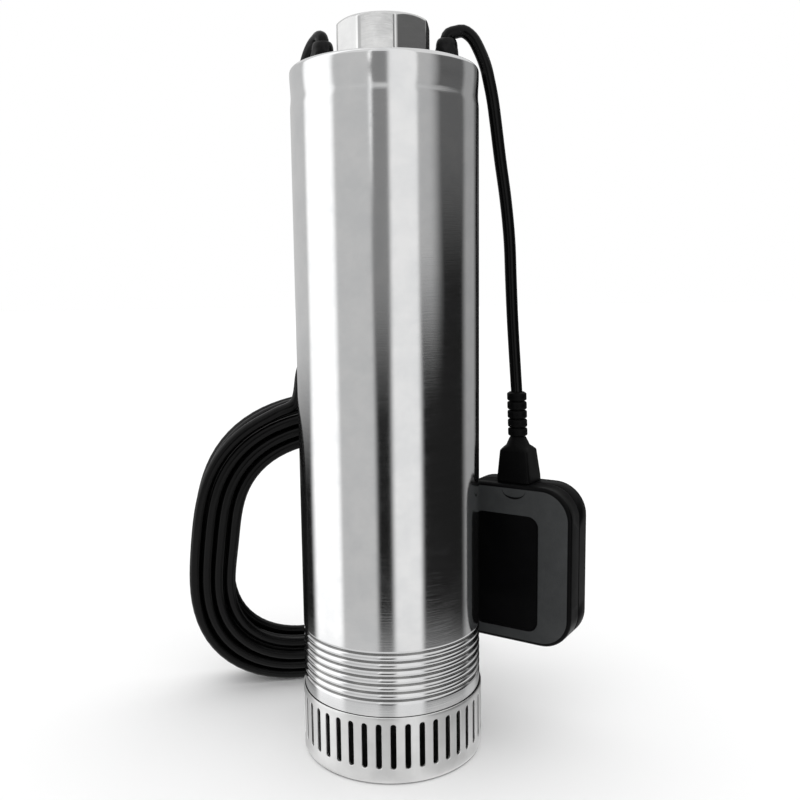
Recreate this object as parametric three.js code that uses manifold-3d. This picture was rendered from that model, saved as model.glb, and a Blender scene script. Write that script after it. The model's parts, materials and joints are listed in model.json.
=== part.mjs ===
// Submersible sump pump: a stainless tube that holds a strainer, three impeller stages and a
// water-cooled motor under its discharge head, with a float switch on a short cable and a coiled
// power cable. Millimetres, +Z up, origin at the centre of the strainer's underside.
import * as THREE from 'three';
import { mergeVertices } from 'three/addons/utils/BufferGeometryUtils.js';
import Module from 'manifold-3d';

const wasm = await Module();
wasm.setup();

// ---------------------------------------------------------------- driving dimensions
const fitGap = 0.3; // between pieces that touch or press on each other
const runGap = 0.5; // between a turning piece and a fixed one
const outsideSides = 36; // facets round the casing and the head
const insideSides = 20; // round what the casing hides
const smallSides = 12; // round the shaft, hubs and bearings
const glandSides = 10; // round the glands' bores and stems

// casing: a tube with rolled ribs at its foot and an edge turned in over the head
const casingRadius = 64;
const casingWall = 2;
const casingBottom = 48;
const casingTop = 478;
const rimRadius = 3;
const rimLip = 5.5;
const ribCount = 7;
const ribPitch = 5.35;
const ribDepth = 1.1;
const firstRib = 11; // from the casing's foot up to its lowest rib
const bandDrop = 21.2; // from the casing's top down to the band
const bandWidth = 7;
const bandDepth = 0.5;

// strainer: a slotted cup with a collar that slides into the casing
const strainerStep = 1.2; // how far it stands out past the casing
const strainerWall = 2;
const strainerFloor = 2.5;
const strainerEdge = 3.5;
const slotCount = 41;
const slotLength = 31.8;
const slotWidth = 3.9;
const slotBottom = 11.3;
const slotEndSides = 3; // facets round each end of a slot
const collarHeight = 8.5;
const collarWall = 3;

// discharge head and its octagonal outlet boss
const headThickness = 12;
const skirtDepth = 12;
const skirtWall = 4;
const bossHeight = 33.2; // above the head's top
const bossFlats = 60;
const bossTurn = -8.5;
const bossEdge = 2.4;
const portRadius = 19.5;
const portLead = 2.2;
const ringSection = 1.15; // radius of the rubber ring's section
const grooveWidth = 4;

// cable glands, one for each cable
const glandInset = 21; // from the casing's radius in to the glands' axes
const powerGlandTurn = 167;
const floatGlandTurn = 5;
const glandFlats = 15;
const glandStemRadius = 6.5;
const glandStemReach = 5; // how far the stem goes into the motor cap's column
const glandBore = 4.7;
const glandFoot = 7.2;
const glandCollarRadius = 6;
const glandCollarHeight = 7;
const nutHeight = 16.2;
const nutHexHeight = 10;
const nutTopRadius = 5.9;
const nutCrown = 3;
const nutBore = 6.3;

// impeller stages
const stageCount = 3;
const stagePitch = 24;
const suctionThickness = 4;
const mouthDepth = 3;
const mouthFlare = 4; // of the rim round the eye's mouth, outwards at its foot
const stageWall = 2.3;
const eyeRadius = 18;
const eyeWall = 1.6;
const impellerGap = 13.4; // between an impeller and its stage's wall
const impellerSides = 16; // round the impellers, their return plates and the rotor
const shroudThickness = 1.5;
const impellerFoot = 2.5; // from the stage's foot to the front shroud
const bladeHeight = 5.5;
const bladeCount = 5;
const bladeThickness = 1.8;
const bladeSweep = 75;
const hubRadius = 10;
const vaneCount = 5;
const vaneThickness = 2;
const vaneSweep = 50;
const plateThickness = 1.6;
const plateHeight = 13.9;
const plateGap = 5.4; // water's way round the return plate

// shaft
const hexFlats = 12;
const shaftEndRadius = 5.5;
const sealJournal = 8.2;
const bearingJournal = 8.5;
const rotorJournal = 9.5;
const shoulderRadius = 11;
const shoulderWidth = 3;
const nutFlats = 17;
const nutThickness = 7;

// seal housing and shaft seal
const housingFlange = 12;
const housingSpigot = 16;
const housingFloor = 5;
const chamberRadius = 30;
const seatHeight = 5;
const seatRadius = 15;
const carbonHeight = 5;
const carbonRadius = 14;
const springTurns = 3;
const springRadius = 11;
const springWire = 0.9; // radius of the wire

// motor
const jacketGap = 12; // water's way between casing and motor
const sleeveWall = 1.2;
const gasketThickness = 1.5;
const bracketThickness = 14;
const bracketFloor = 2;
const bearingRadius = 20;
const bearingWidth = 12;
const innerRaceRadius = 12.5;
const windingGap = 5;
const windingHeight = 18;
const windingDepth = 14.5; // of the windings' ring, from its outside inwards
const windingClear = 4.8; // between the windings and the sleeve
const statorLength = 130;
const windingStep = 2; // of the windings' bore over the stator's
const statorSlots = 12;
const statorSlotDepth = 9;
const statorSlotShare = 0.45;
const endRingStep = 3.5; // of the rotor's end rings inside the stator's bore
const endRingHeight = 7;
const chamberHeight = 60; // wiring space between the upper bracket and the cap
const capSpigot = 10;
const capFlange = 6;
const columnRadius = 9;
const conduitRadius = 5;
const capacitorRadius = 16;
const capacitorHeight = 44;
const capacitorPlace = [-16, -18];
const terminalSize = [26, 14, 12];
const wellRadius = 2;
const wellPitch = 8;
const terminalPlace = [18, 16];
const wireHoleRadius = 5;
const wireHoleInset = 12.5; // from the bracket's edge in to the wire holes
const wireHoleTurns = [40, 220];

// power cable: riser, coil, tail, tie and plug
const cableRadius = 4.3;
const cableSides = 8;
const riserLead = 16; // straight run into the coil
// The riser's way down behind the casing, given as the float cable's is below.
const riserDrop = [
  [158.5, -14.3, 26], [153.3, -7.7, 23.6], [148.9, 0, 16.5], [146.4, 5.7, 5], [145, 8.4, -13],
  [144.5, 8.8, -45], [144.1, 8.3, -95], [143.9, 8.3, -145], [143.4, 10, -175], [142.6, 14, -195],
  [142.8, 19.2, -208.5],
];
const coilCentreX = -42;
const coilMeanRadius = 105.9;
const coilPitch = 9.7; // between neighbouring loops of a layer
const coilLayerPitch = 9.2;
const coilLayers = 4;
const coilStartTurn = 118; // degrees, where the riser joins the coil
const coilEndTurn = 258;
const coilWholeTurns = 13;
const coilSteps = 18; // to a loop
const coilSides = 6;
const coilLean = 11;
const coilYaw = 10;
const coilSquare = 0.048; // how far the coil's loops are drawn towards four soft corners
const coilOval = 0.09; // how far they are drawn out along one direction
const coilOvalTurn = 245;
const coilEgg = 0.086; // and how far they are fuller on one side than on the other
const coilEggTurn = 171;
const floorGap = 0.2;
const tieTurn = 358;
const tieSlack = 2; // room for the loops' bend inside the strap
const tieWidth = 14;
const tieThickness = 1.4;
const plugRadius = 18;
const plugLength = 38;
const plugNeck = 9;
const pinRadius = 2.4;
const pinLength = 19;
const pinSpacing = 19;
const bootLength = 38;
const bootRadius = 7.5;
const tailReach = 50;
const tailGap = 3; // between the plug and the back of the coil

// float switch on its cable
const archFall = 20; // from the casing's top down to where the swinging cable starts
const floatBearing = 20.1;
const floatOut = 41; // from the casing's wall to the float's middle
const floatTurn = -32.6;
const floatWidth = 97;
const floatHeight = 121.5;
const floatDepth = 33;
const floatBottom = 64.2;
const floatCorner = 24;
const floatBevel = 2.5;
const floatWall = 3;
const seamGap = 1.6;
const panelWidth = 53;
const panelShift = -4.2; // from the float's middle to the panel's, towards the pump
const panelFoot = 10.5; // from the float's foot up to the sunk panel
const panelHeight = 88;
const panelCorner = 8;
const panelDepth = 1.5;
const bootRibs = 5;
const bootRibPitch = 6.7;
const bootRibSlope = 1.4; // height of a rib's sloping side
const bootRibRadius = 7;
const bootNeckRadius = 5.4;
const bootConeHeight = 9;
const bootShoulderHeight = 25.5;
const bootLean = 2.4; // how far the boot's top leans towards the pump
const bootShoulderHalf = [10.2, 12.4]; // half widths at the shoulder's top and foot
const bootShoulderDepth = [9.6, 11.6];
const ballRadius = 9;
const ballTravel = 44;
const caseWidth = 34;
const caseHeight = 92;
const caseFloor = 4;
const pocketDip = 1.5; // from the lever down to the floor of its pocket
const leverArm = 11;
const leverTip = 8;
const leverWidth = 6;
const leverThickness = 0.8;
const leverLift = 3;
const switchSize = [9, 12, 18];
// The float cable's way down: degrees round the casing, out from its wall, height over its top.
const archRoute = [
  [4.6, -9.8, 27], [4.3, -3.6, 22.8], [4.4, 1.9, 13.5], [4.6, 5.8, 4], [5, 8.1, -4.7], [6, 11.1, -17.7],
  [7.2, 13.4, -30.7], [10, 18.1, -57.2], [12.4, 23.4, -84.4], [14.7, 27.8, -112.2], [16.9, 30.7, -140.8],
  [18.8, 33.7, -170.1], [20, 36.8, -200.1],
];

// ---------------------------------------------------------------- derived places
const casingBore = casingRadius - casingWall;
const innerRadius = casingBore - fitGap; // outer radius of what slides into the casing
const impellerRadius = innerRadius - stageWall - impellerGap;
const plateRadius = innerRadius - stageWall - plateGap;
const sleeveRadius = casingBore - jacketGap;
const collarTop = casingBottom + collarHeight;
const suctionFoot = collarTop + fitGap;
const suctionTop = suctionFoot + suctionThickness;
const stageFoot = (i) => suctionTop + fitGap + i * stagePitch;
const stageTop = (i) => stageFoot(i) + stagePitch - fitGap;
const eyeHole = eyeRadius + eyeWall + runGap;
const hubFoot = (i) => stageFoot(i) + impellerFoot;
const housingBottom = stageTop(stageCount - 1) + fitGap;
const sleeveBottom = housingBottom + housingFlange + gasketThickness + 2 * fitGap;
const sleeveBore = sleeveRadius - sleeveWall;
const spigotRadius = sleeveBore - fitGap;
const windingOuter = sleeveBore - windingClear;
const windingInner = windingOuter - windingDepth;
const statorBore = windingInner - windingStep;
const endRingRadius = statorBore - endRingStep;
const housingTop = housingBottom + housingFlange + housingSpigot;
const lowerBracketFoot = housingTop + fitGap;
const lowerBracketTop = lowerBracketFoot + bracketThickness;
const lowerWindingFoot = lowerBracketTop + windingGap;
const statorFoot = lowerWindingFoot + windingHeight + fitGap;
const statorTop = statorFoot + statorLength;
const upperWindingFoot = statorTop + fitGap;
const upperBracketFoot = upperWindingFoot + windingHeight + windingGap;
const upperBracketTop = upperBracketFoot + bracketThickness;
const capFoot = upperBracketTop + chamberHeight;
const sleeveTop = capFoot + capSpigot;
const capFlangeFoot = sleeveTop + gasketThickness + 2 * fitGap;
const capTop = capFlangeFoot + capFlange;
const headTop = casingTop - casingWall - fitGap;
const bossTop = headTop + bossHeight;
const headUnderside = headTop - headThickness;
const skirtFoot = headUnderside - skirtDepth;
const columnTop = headUnderside - fitGap;
const nutTop = headTop + fitGap + glandFoot + fitGap + nutHeight;
const bearingFoot = lowerBracketFoot + bracketFloor + fitGap;
const upperBearingFoot = upperBracketFoot;
const hubTop = (i) => (i === stageCount - 1 ? housingBottom - runGap : hubFoot(i + 1) - fitGap);
const shaftFoot = hubFoot(0) - nutThickness - 2;
const shaftTop = upperBearingFoot + bearingWidth;
const floatTop = floatBottom + floatHeight;
const bootFoot = floatTop + fitGap;
const bootNeckFoot = bootFoot + bootShoulderHeight + bootConeHeight;
const bootTop = bootNeckFoot + bootRibs * bootRibPitch;
const dropSplit = casingTop - archFall;
const radians = THREE.MathUtils.degToRad;
const onCircle = (radius, turn) => [radius * Math.cos(radians(turn)), radius * Math.sin(radians(turn))];
const glandPlace = (turn) => onCircle(casingRadius - glandInset, turn);
// A point beside the casing: how far round, how far out from its wall, how high.
const beside = (turn, out, height) => [...onCircle(casingRadius + out, turn), height];

// ---------------------------------------------------------------- materials
const finish = (color, roughness, metalness) => (
  new THREE.MeshStandardMaterial({ color, roughness, metalness })
);
const polishedSteel = finish(0xc9cbcc, 0.22, 1);
const satinSteel = finish(0xa9abac, 0.42, 1);
const machinedSteel = finish(0x8f9294, 0.35, 1);
const castIron = finish(0x4a4d50, 0.6, 0.8);
const ironLaminations = finish(0x5b5e61, 0.5, 0.9);
const copper = finish(0xa2542b, 0.45, 0.9);
const aluminium = finish(0xb3b6b8, 0.45, 1);
const blackRubber = finish(0x141414, 0.55, 0);
const blackPlastic = finish(0x1b1b1c, 0.45, 0);
const greyPlastic = finish(0x3a3d3e, 0.5, 0);
const paleResin = finish(0xc8c2b0, 0.5, 0);
const carbonFace = finish(0x232323, 0.4, 0.1);

// ---------------------------------------------------------------- shape helpers
// Merged triangles only, with collapsed ones dropped and the faces pointing out.
function closed(geometry) {
  for (const name of Object.keys(geometry.attributes)) {
    if (name !== 'position') geometry.deleteAttribute(name);
  }
  const merged = mergeVertices(geometry, 1e-4);
  const at = merged.attributes.position;
  const faces = [];
  let volume = 0;
  const corner = [0, 1, 2].map(() => new THREE.Vector3());
  for (let i = 0; i < merged.index.count; i += 3) {
    const ids = [0, 1, 2].map((k) => merged.index.getX(i + k));
    if (ids[0] === ids[1] || ids[1] === ids[2] || ids[2] === ids[0]) continue;
    ids.forEach((id, k) => corner[k].fromBufferAttribute(at, id));
    volume += corner[0].dot(corner[1].clone().cross(corner[2]));
    faces.push(ids);
  }
  merged.setIndex(faces.flatMap((ids) => (volume < 0 ? [ids[0], ids[2], ids[1]] : ids)));
  return merged;
}

function solid(geometry) {
  const merged = closed(geometry);
  return new wasm.Manifold(new wasm.Mesh({
    numProp: 3,
    vertProperties: new Float32Array(merged.attributes.position.array),
    triVerts: new Uint32Array(merged.index.array),
  }));
}

function geometryOf(manifold) {
  const mesh = manifold.getMesh();
  const geometry = new THREE.BufferGeometry();
  geometry.setAttribute('position', new THREE.BufferAttribute(new Float32Array(mesh.vertProperties), 3));
  geometry.setIndex(new THREE.BufferAttribute(new Uint32Array(mesh.triVerts), 1));
  return geometry;
}

const cut = (body, ...tools) => tools.reduce((left, tool) => left.subtract(tool), body);
const join = (body, ...more) => more.reduce((sum, piece) => sum.add(piece), body);

// A revolved solid about Z: [radius, height] corners, closed on itself where it is a ring.
function revolve(profile, sides = insideSides) {
  const points = profile.map(([r, z]) => new THREE.Vector2(r, z));
  const onAxis = profile[0][0] === 0 && profile[profile.length - 1][0] === 0;
  if (!onAxis) points.push(points[0].clone());
  return closed(new THREE.LatheGeometry(points, sides).rotateX(Math.PI / 2));
}

// A washer, tube or disc between two heights.
function tube(inner, outer, low, high, sides = insideSides) {
  return revolve([[inner, low], [outer, low], [outer, high], [inner, high]], sides);
}

function disc(radius, low, high, sides = insideSides) {
  return revolve([[0, low], [radius, low], [radius, high], [0, high]], sides);
}

function prism(corners, low, high) {
  const shape = new THREE.Shape(corners.map(([x, y]) => new THREE.Vector2(x, y)));
  return new THREE.ExtrudeGeometry(shape, { depth: high - low, bevelEnabled: false }).translate(0, 0, low);
}

// Corners of a regular polygon from the distance across its flats, with a flat facing +Y when turn is 0.
function polygon(sides, flats, turn = 0) {
  const reach = flats / 2 / Math.cos(Math.PI / sides);
  return Array.from({ length: sides }, (_, i) => {
    const angle = radians(turn) + Math.PI / 2 + Math.PI / sides + (2 * Math.PI * i) / sides;
    return [reach * Math.cos(angle), reach * Math.sin(angle)];
  });
}

function roundedRectangle(width, height, corner, cornerSides = 3) {
  const centres = [[1, 1], [-1, 1], [-1, -1], [1, -1]];
  return centres.flatMap(([sx, sy], i) => Array.from({ length: cornerSides + 1 }, (_, k) => {
    const angle = (Math.PI / 2) * (i + k / cornerSides);
    return [
      sx * (width / 2 - corner) + corner * Math.cos(angle),
      sy * (height / 2 - corner) + corner * Math.sin(angle),
    ];
  }));
}

// A blade or vane: a strip of even thickness whose angle runs on as its radius grows.
function spiralStrip(inner, outer, sweep, thickness, steps = 2) {
  const side = (offset) => Array.from({ length: steps + 1 }, (_, i) => {
    const r = inner + ((outer - inner) * i) / steps;
    const angle = (radians(sweep) * i) / steps + offset / r;
    return [r * Math.cos(angle), r * Math.sin(angle)];
  });
  return [...side(-thickness / 2), ...side(thickness / 2).reverse()];
}

const turned = (manifold, degrees) => manifold.rotate([0, 0, degrees]);

// A tube through given points, its section carried along without twisting. Ends are flat.
function sweptTube(points, radius, sides) {
  const path = points.map((p) => new THREE.Vector3(...p));
  const tangent = path.map((p, i) => {
    const before = path[Math.max(i - 1, 0)];
    const after = path[Math.min(i + 1, path.length - 1)];
    return after.clone().sub(before).normalize();
  });
  const across = new THREE.Vector3(0, 0, 1).cross(tangent[0]);
  if (across.length() < 0.1) across.set(0, 1, 0).cross(tangent[0]);
  const position = [];
  path.forEach((p, i) => {
    across.addScaledVector(tangent[i], -across.dot(tangent[i])).normalize();
    const up = tangent[i].clone().cross(across);
    for (let k = 0; k < sides; k += 1) {
      const angle = (2 * Math.PI * k) / sides;
      const corner = p.clone().addScaledVector(across, radius * Math.cos(angle));
      corner.addScaledVector(up, radius * Math.sin(angle));
      position.push(corner.x, corner.y, corner.z);
    }
  });
  const faces = [];
  for (let i = 0; i + 1 < path.length; i += 1) {
    for (let k = 0; k < sides; k += 1) {
      const a = i * sides + k;
      const b = i * sides + ((k + 1) % sides);
      faces.push(a, b, b + sides, a, b + sides, a + sides);
    }
  }
  const last = (path.length - 1) * sides;
  for (let k = 1; k + 1 < sides; k += 1) {
    faces.push(0, k + 1, k, last, last + k, last + k + 1);
  }
  const geometry = new THREE.BufferGeometry();
  geometry.setAttribute('position', new THREE.Float32BufferAttribute(position, 3));
  geometry.setIndex(faces);
  return closed(geometry);
}

// Least gap between a wound tube's own turns, on its points.
function leastSelfGap(points, radius, nearby) {
  let least = Infinity;
  for (let i = 0; i < points.length; i += 1) {
    for (let k = i + nearby; k < points.length; k += 1) {
      const [a, b] = [points[i], points[k]];
      least = Math.min(least, Math.hypot(a[0] - b[0], a[1] - b[1], a[2] - b[2]));
    }
  }
  return least - 2 * radius;
}

// One stretch of a route. Its points crowd towards its start by the power of ease.
class Stretch extends THREE.Curve {
  constructor(route, from, to, ease) {
    super();
    Object.assign(this, { route, from, to, ease });
  }

  getPointAt(share) {
    return this.route.getPointAt(this.from + (this.to - this.from) * share ** this.ease);
  }

  getTangentAt(share) {
    return this.route.getTangentAt(this.from + (this.to - this.from) * share ** this.ease);
  }
}

// A cable along a stretch of its route, its ends square to it.
function cable(route, from, to, steps, radius, ease = 1) {
  const stretch = new Stretch(route, from, to, ease);
  const section = new THREE.Shape(Array.from({ length: cableSides }, (_, k) => {
    const angle = (2 * Math.PI * (k + 0.5)) / cableSides;
    return new THREE.Vector2(radius * Math.cos(angle), radius * Math.sin(angle));
  }));
  return closed(new THREE.ExtrudeGeometry(section, { steps, bevelEnabled: false, extrudePath: stretch }));
}

const pump = new THREE.Group();
const sizes = {};

function add(name, shape, material, group = pump) {
  const geometry = shape.isBufferGeometry ? shape : geometryOf(shape);
  const mesh = new THREE.Mesh(geometry, material);
  mesh.name = name;
  group.add(mesh);
  return mesh;
}

// ---------------------------------------------------------------- casing tube
function casingTube() {
  const profile = [[casingBore, casingBottom], [casingRadius, casingBottom]];
  for (let i = 0; i < ribCount; i += 1) {
    const height = casingBottom + firstRib + i * ribPitch;
    if (i === 0) profile.push([casingRadius, height - ribPitch / 2]);
    profile.push([casingRadius - ribDepth, height], [casingRadius, height + ribPitch / 2]);
  }
  const bandHeight = casingTop - bandDrop;
  profile.push([casingRadius, bandHeight - bandWidth / 2], [casingRadius - bandDepth, bandHeight]);
  profile.push([casingRadius, bandHeight + bandWidth / 2]);
  for (let i = 0; i <= 2; i += 1) {
    const angle = (Math.PI / 2) * (i / 2);
    profile.push([
      casingRadius - rimRadius + rimRadius * Math.cos(angle),
      casingTop - rimRadius + rimRadius * Math.sin(angle),
    ]);
  }
  profile.push([casingRadius - rimLip, casingTop], [casingRadius - rimLip, casingTop - casingWall]);
  profile.push([casingBore, casingTop - casingWall]);
  return revolve(profile, outsideSides);
}
add('casing_tube', casingTube(), polishedSteel);

// ---------------------------------------------------------------- strainer basket
function strainerBasket() {
  const top = casingBottom - fitGap;
  const radius = casingRadius + strainerStep;
  const inside = radius - strainerWall;
  const cup = solid(revolve([
    [0, 0], [radius - strainerEdge, 0], [radius, strainerEdge], [radius, top], [innerRadius, top],
    [innerRadius, collarTop], [innerRadius - collarWall, collarTop], [inside, top - collarHeight],
    [inside, strainerFloor], [0, strainerFloor],
  ], slotCount));
  const half = slotWidth / 2;
  const slotEnd = (sign) => Array.from({ length: slotEndSides + 1 }, (_, k) => {
    const angle = (Math.PI * k) / slotEndSides;
    return [sign * half * Math.cos(angle), sign * (slotLength / 2 - half + half * Math.sin(angle))];
  });
  const cutter = solid(prism([...slotEnd(1), ...slotEnd(-1)], 0, strainerWall * 3).rotateX(Math.PI / 2)
    .translate(0, -inside + strainerWall, slotBottom + slotLength / 2));
  const step = 360 / slotCount;
  const slots = Array.from({ length: slotCount }, (_, i) => turned(cutter, i * step));
  return cut(turned(cup, step / 2), ...slots);
}
add('strainer_basket', strainerBasket(), satinSteel);

// ---------------------------------------------------------------- discharge head
function dischargeHead() {
  const groove = skirtFoot + skirtDepth / 2;
  const grooveFloor = innerRadius - 2 * ringSection - fitGap;
  const [grooveLow, grooveHigh] = [groove - grooveWidth / 2, groove + grooveWidth / 2];
  const plate = solid(revolve([
    [0, headUnderside], [innerRadius - skirtWall, headUnderside], [innerRadius - skirtWall, skirtFoot],
    [innerRadius, skirtFoot], [innerRadius, grooveLow], [grooveFloor, grooveLow],
    [grooveFloor, grooveHigh], [innerRadius, grooveHigh], [innerRadius, headTop], [0, headTop],
  ], outsideSides));
  const boss = solid(prism(polygon(8, bossFlats, bossTurn), headTop - 1, bossTop));
  const corner = bossFlats / 2 / Math.cos(Math.PI / 8);
  const turnedEdge = solid(revolve([
    [0, headTop - 2], [corner + 2, headTop - 2], [corner + 2, bossTop - bossEdge - 1.2],
    [bossFlats / 2, bossTop - 0.4], [bossFlats / 2 - 1, bossTop], [0, bossTop],
  ]));
  const port = solid(revolve([
    [0, headUnderside - 1], [portRadius, headUnderside - 1], [portRadius, bossTop - portLead],
    [portRadius + portLead, bossTop], [portRadius + portLead, bossTop + 1], [0, bossTop + 1],
  ]));
  const glandHole = (turn) => {
    const [x, y] = glandPlace(turn);
    const hole = disc(glandStemRadius + fitGap, headUnderside - 1, headTop + 1, glandSides);
    return solid(hole.translate(x, y, 0));
  };
  const body = join(plate, boss.intersect(turnedEdge));
  return cut(body, port, glandHole(powerGlandTurn), glandHole(floatGlandTurn));
}
add('discharge_head', dischargeHead(), satinSteel);

// The rubber ring in the head's groove just clears the casing's bore.
const ringMiddle = innerRadius - ringSection;
add('head_seal_ring', revolve(Array.from({ length: 4 }, (_, k) => [
  ringMiddle + ringSection * Math.cos((Math.PI * k) / 2),
  skirtFoot + skirtDepth / 2 + ringSection * Math.sin((Math.PI * k) / 2),
]), outsideSides), blackRubber);

// ---------------------------------------------------------------- cable glands
function gland(prefix, turn) {
  const [x, y] = glandPlace(turn);
  const foot = headTop + fitGap;
  const collarFoot = foot + glandFoot;
  const collarEnd = collarFoot + glandCollarHeight;
  const stemFoot = columnTop - glandStemReach + fitGap;
  const body = join(
    solid(disc(glandStemRadius, stemFoot, foot + 1, glandSides)),
    solid(prism(polygon(6, glandFlats, turn), foot, collarFoot)),
    solid(disc(glandCollarRadius, collarFoot - 1, collarEnd, glandSides)),
  );
  const bore = solid(disc(glandBore, stemFoot - 1, collarEnd + 1, glandSides));
  const nutFoot = collarFoot + fitGap;
  const nutEnd = nutFoot + nutHeight;
  const hexagon = solid(prism(polygon(6, glandFlats, turn + 12), nutFoot, nutEnd));
  const crown = solid(revolve([
    [0, nutFoot - 1], [glandFlats, nutFoot - 1], [glandFlats, nutFoot + nutHexHeight - 3],
    [glandFlats / 2, nutFoot + nutHexHeight + 1], [glandFlats / 2 - 0.6, nutEnd - 3],
    [nutTopRadius, nutEnd], [0, nutEnd],
  ], smallSides));
  const hollow = solid(revolve([
    [0, nutFoot - 1], [nutBore, nutFoot - 1], [nutBore, nutEnd - nutCrown], [glandBore, nutEnd - nutCrown],
    [glandBore, nutEnd + 1], [0, nutEnd + 1],
  ], glandSides));
  const seal = tube(glandBore, nutBore - fitGap, collarEnd + fitGap, nutEnd - nutCrown - fitGap, glandSides);
  const pieces = new THREE.Group();
  pieces.position.set(x, y, 0);
  add(`${prefix}_gland_body`, cut(body, bore), blackPlastic, pieces);
  add(`${prefix}_gland_seal`, seal, blackRubber, pieces);
  add(`${prefix}_gland_nut`, cut(hexagon.intersect(crown), hollow), blackPlastic, pieces);
  pump.add(pieces);
}
gland('power', powerGlandTurn);
gland('float', floatGlandTurn);

// ---------------------------------------------------------------- pump stages
add('suction_plate', revolve([
  [eyeHole, suctionTop], [eyeHole, suctionFoot - mouthDepth], [eyeHole + mouthFlare, suctionFoot],
  [innerRadius, suctionFoot], [innerRadius, suctionTop],
]), machinedSteel);

function hexBore(low, high) {
  return solid(prism(polygon(6, hexFlats + 2 * fitGap), low, high));
}

function impeller(i) {
  const foot = hubFoot(i);
  const bladeFoot = foot + shroudThickness;
  const bladeTop = bladeFoot + bladeHeight;
  const neckFoot = stageFoot(i) - fitGap - plateThickness;
  const shrouds = join(
    solid(revolve([
      [eyeRadius, neckFoot], [eyeRadius + eyeWall, neckFoot], [eyeRadius + eyeWall, foot],
      [impellerRadius, foot], [impellerRadius, bladeFoot], [eyeRadius, bladeFoot],
    ], impellerSides)),
    solid(disc(impellerRadius, bladeTop, bladeTop + shroudThickness, impellerSides)),
    solid(disc(hubRadius, foot, hubTop(i), smallSides)),
  );
  const strip = spiralStrip(hubRadius + 4, impellerRadius - 1, bladeSweep, bladeThickness);
  const blade = solid(prism(strip, bladeFoot - 0.4, bladeTop + 0.4));
  const blades = Array.from({ length: bladeCount }, (_, k) => turned(blade, (360 / bladeCount) * k));
  return cut(join(shrouds, ...blades), hexBore(foot - 1, foot + stagePitch + 1));
}

// Each stage's casing carries the vanes that lead the water back to the next impeller's eye. The
// last one is open at its top, so that the water goes on up round the motor.
function diffuser(i) {
  const foot = stageFoot(i);
  const top = stageTop(i);
  const plateFoot = foot + plateHeight;
  const plateTop = plateFoot + plateThickness;
  const last = i === stageCount - 1;
  const parts = [
    solid(tube(innerRadius - stageWall, innerRadius, foot, top)),
    solid(tube(hubRadius + runGap, plateRadius, plateFoot, plateTop, impellerSides)),
  ];
  if (!last) parts.push(solid(tube(eyeHole, innerRadius - 1, top - plateThickness, top)));
  const outer = last ? innerRadius - 1 : plateRadius - 0.5;
  const reach = last ? top : top - plateThickness + 0.4;
  const vane = solid(prism(spiralStrip(eyeHole + 2, outer, vaneSweep, vaneThickness), plateTop - 0.4, reach));
  for (let k = 0; k < vaneCount; k += 1) parts.push(turned(vane, (360 / vaneCount) * k));
  return join(...parts);
}

for (let i = 0; i < stageCount; i += 1) {
  add(`impeller_${i + 1}`, impeller(i), machinedSteel);
  add(`diffuser_${i + 1}`, diffuser(i), machinedSteel);
}

add('impeller_nut', cut(
  solid(prism(polygon(6, nutFlats), hubFoot(0) - fitGap - nutThickness, hubFoot(0) - fitGap)),
  solid(disc(shaftEndRadius + fitGap, shaftFoot - 2, hubFoot(0) + 1, 12)),
), machinedSteel);

// ---------------------------------------------------------------- shaft
function shaft() {
  const sealFoot = hubTop(stageCount - 1) + fitGap;
  const rotorFoot = bearingFoot + bearingWidth + fitGap;
  const rotorTop = upperBearingFoot - fitGap;
  const round = solid(revolve([
    [0, sealFoot], [sealJournal, sealFoot], [sealJournal, bearingFoot - 2], [bearingJournal, bearingFoot - 2],
    [bearingJournal, rotorFoot], [shoulderRadius, rotorFoot], [shoulderRadius, rotorFoot + shoulderWidth],
    [rotorJournal, rotorFoot + shoulderWidth], [rotorJournal, rotorTop - shoulderWidth],
    [shoulderRadius, rotorTop - shoulderWidth], [shoulderRadius, rotorTop], [bearingJournal, rotorTop],
    [bearingJournal, shaftTop - 1], [bearingJournal - 1, shaftTop], [0, shaftTop],
  ], smallSides));
  const hexagon = solid(prism(polygon(6, hexFlats), hubFoot(0), sealFoot + 1));
  const end = solid(revolve([
    [0, shaftFoot], [shaftEndRadius - 1, shaftFoot], [shaftEndRadius, shaftFoot + 1],
    [shaftEndRadius, hubFoot(0) + 1], [0, hubFoot(0) + 1],
  ], 12));
  return join(round, hexagon, end);
}
add('shaft', shaft(), polishedSteel);

// ---------------------------------------------------------------- seal housing and shaft seal
// A flat gasket under each end of the motor's sleeve.
const gasket = (foot) => tube(spigotRadius + fitGap, sleeveRadius, foot, foot + gasketThickness);

const flangeTop = housingBottom + housingFlange;
const chamberFloor = housingBottom + housingFloor;
add('seal_housing', revolve([
  [sealJournal + runGap, housingBottom], [sleeveRadius, housingBottom], [sleeveRadius, flangeTop],
  [spigotRadius, flangeTop], [spigotRadius, housingTop], [chamberRadius, housingTop],
  [chamberRadius, chamberFloor], [sealJournal + runGap, chamberFloor],
]), castIron);
add('housing_gasket', gasket(flangeTop + fitGap), blackRubber);

const seatFoot = chamberFloor + fitGap;
const seatTop = seatFoot + seatHeight;
const carbonFoot = seatTop + fitGap;
const carbonTop = carbonFoot + carbonHeight;
const springFoot = carbonTop + fitGap;
const springTop = lowerBracketFoot + bracketFloor - fitGap;
add('seal_seat', tube(sealJournal + runGap, seatRadius, seatFoot, seatTop, smallSides), paleResin);
add('seal_ring', tube(sealJournal + fitGap, carbonRadius, carbonFoot, carbonTop, smallSides), carbonFace);

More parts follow.
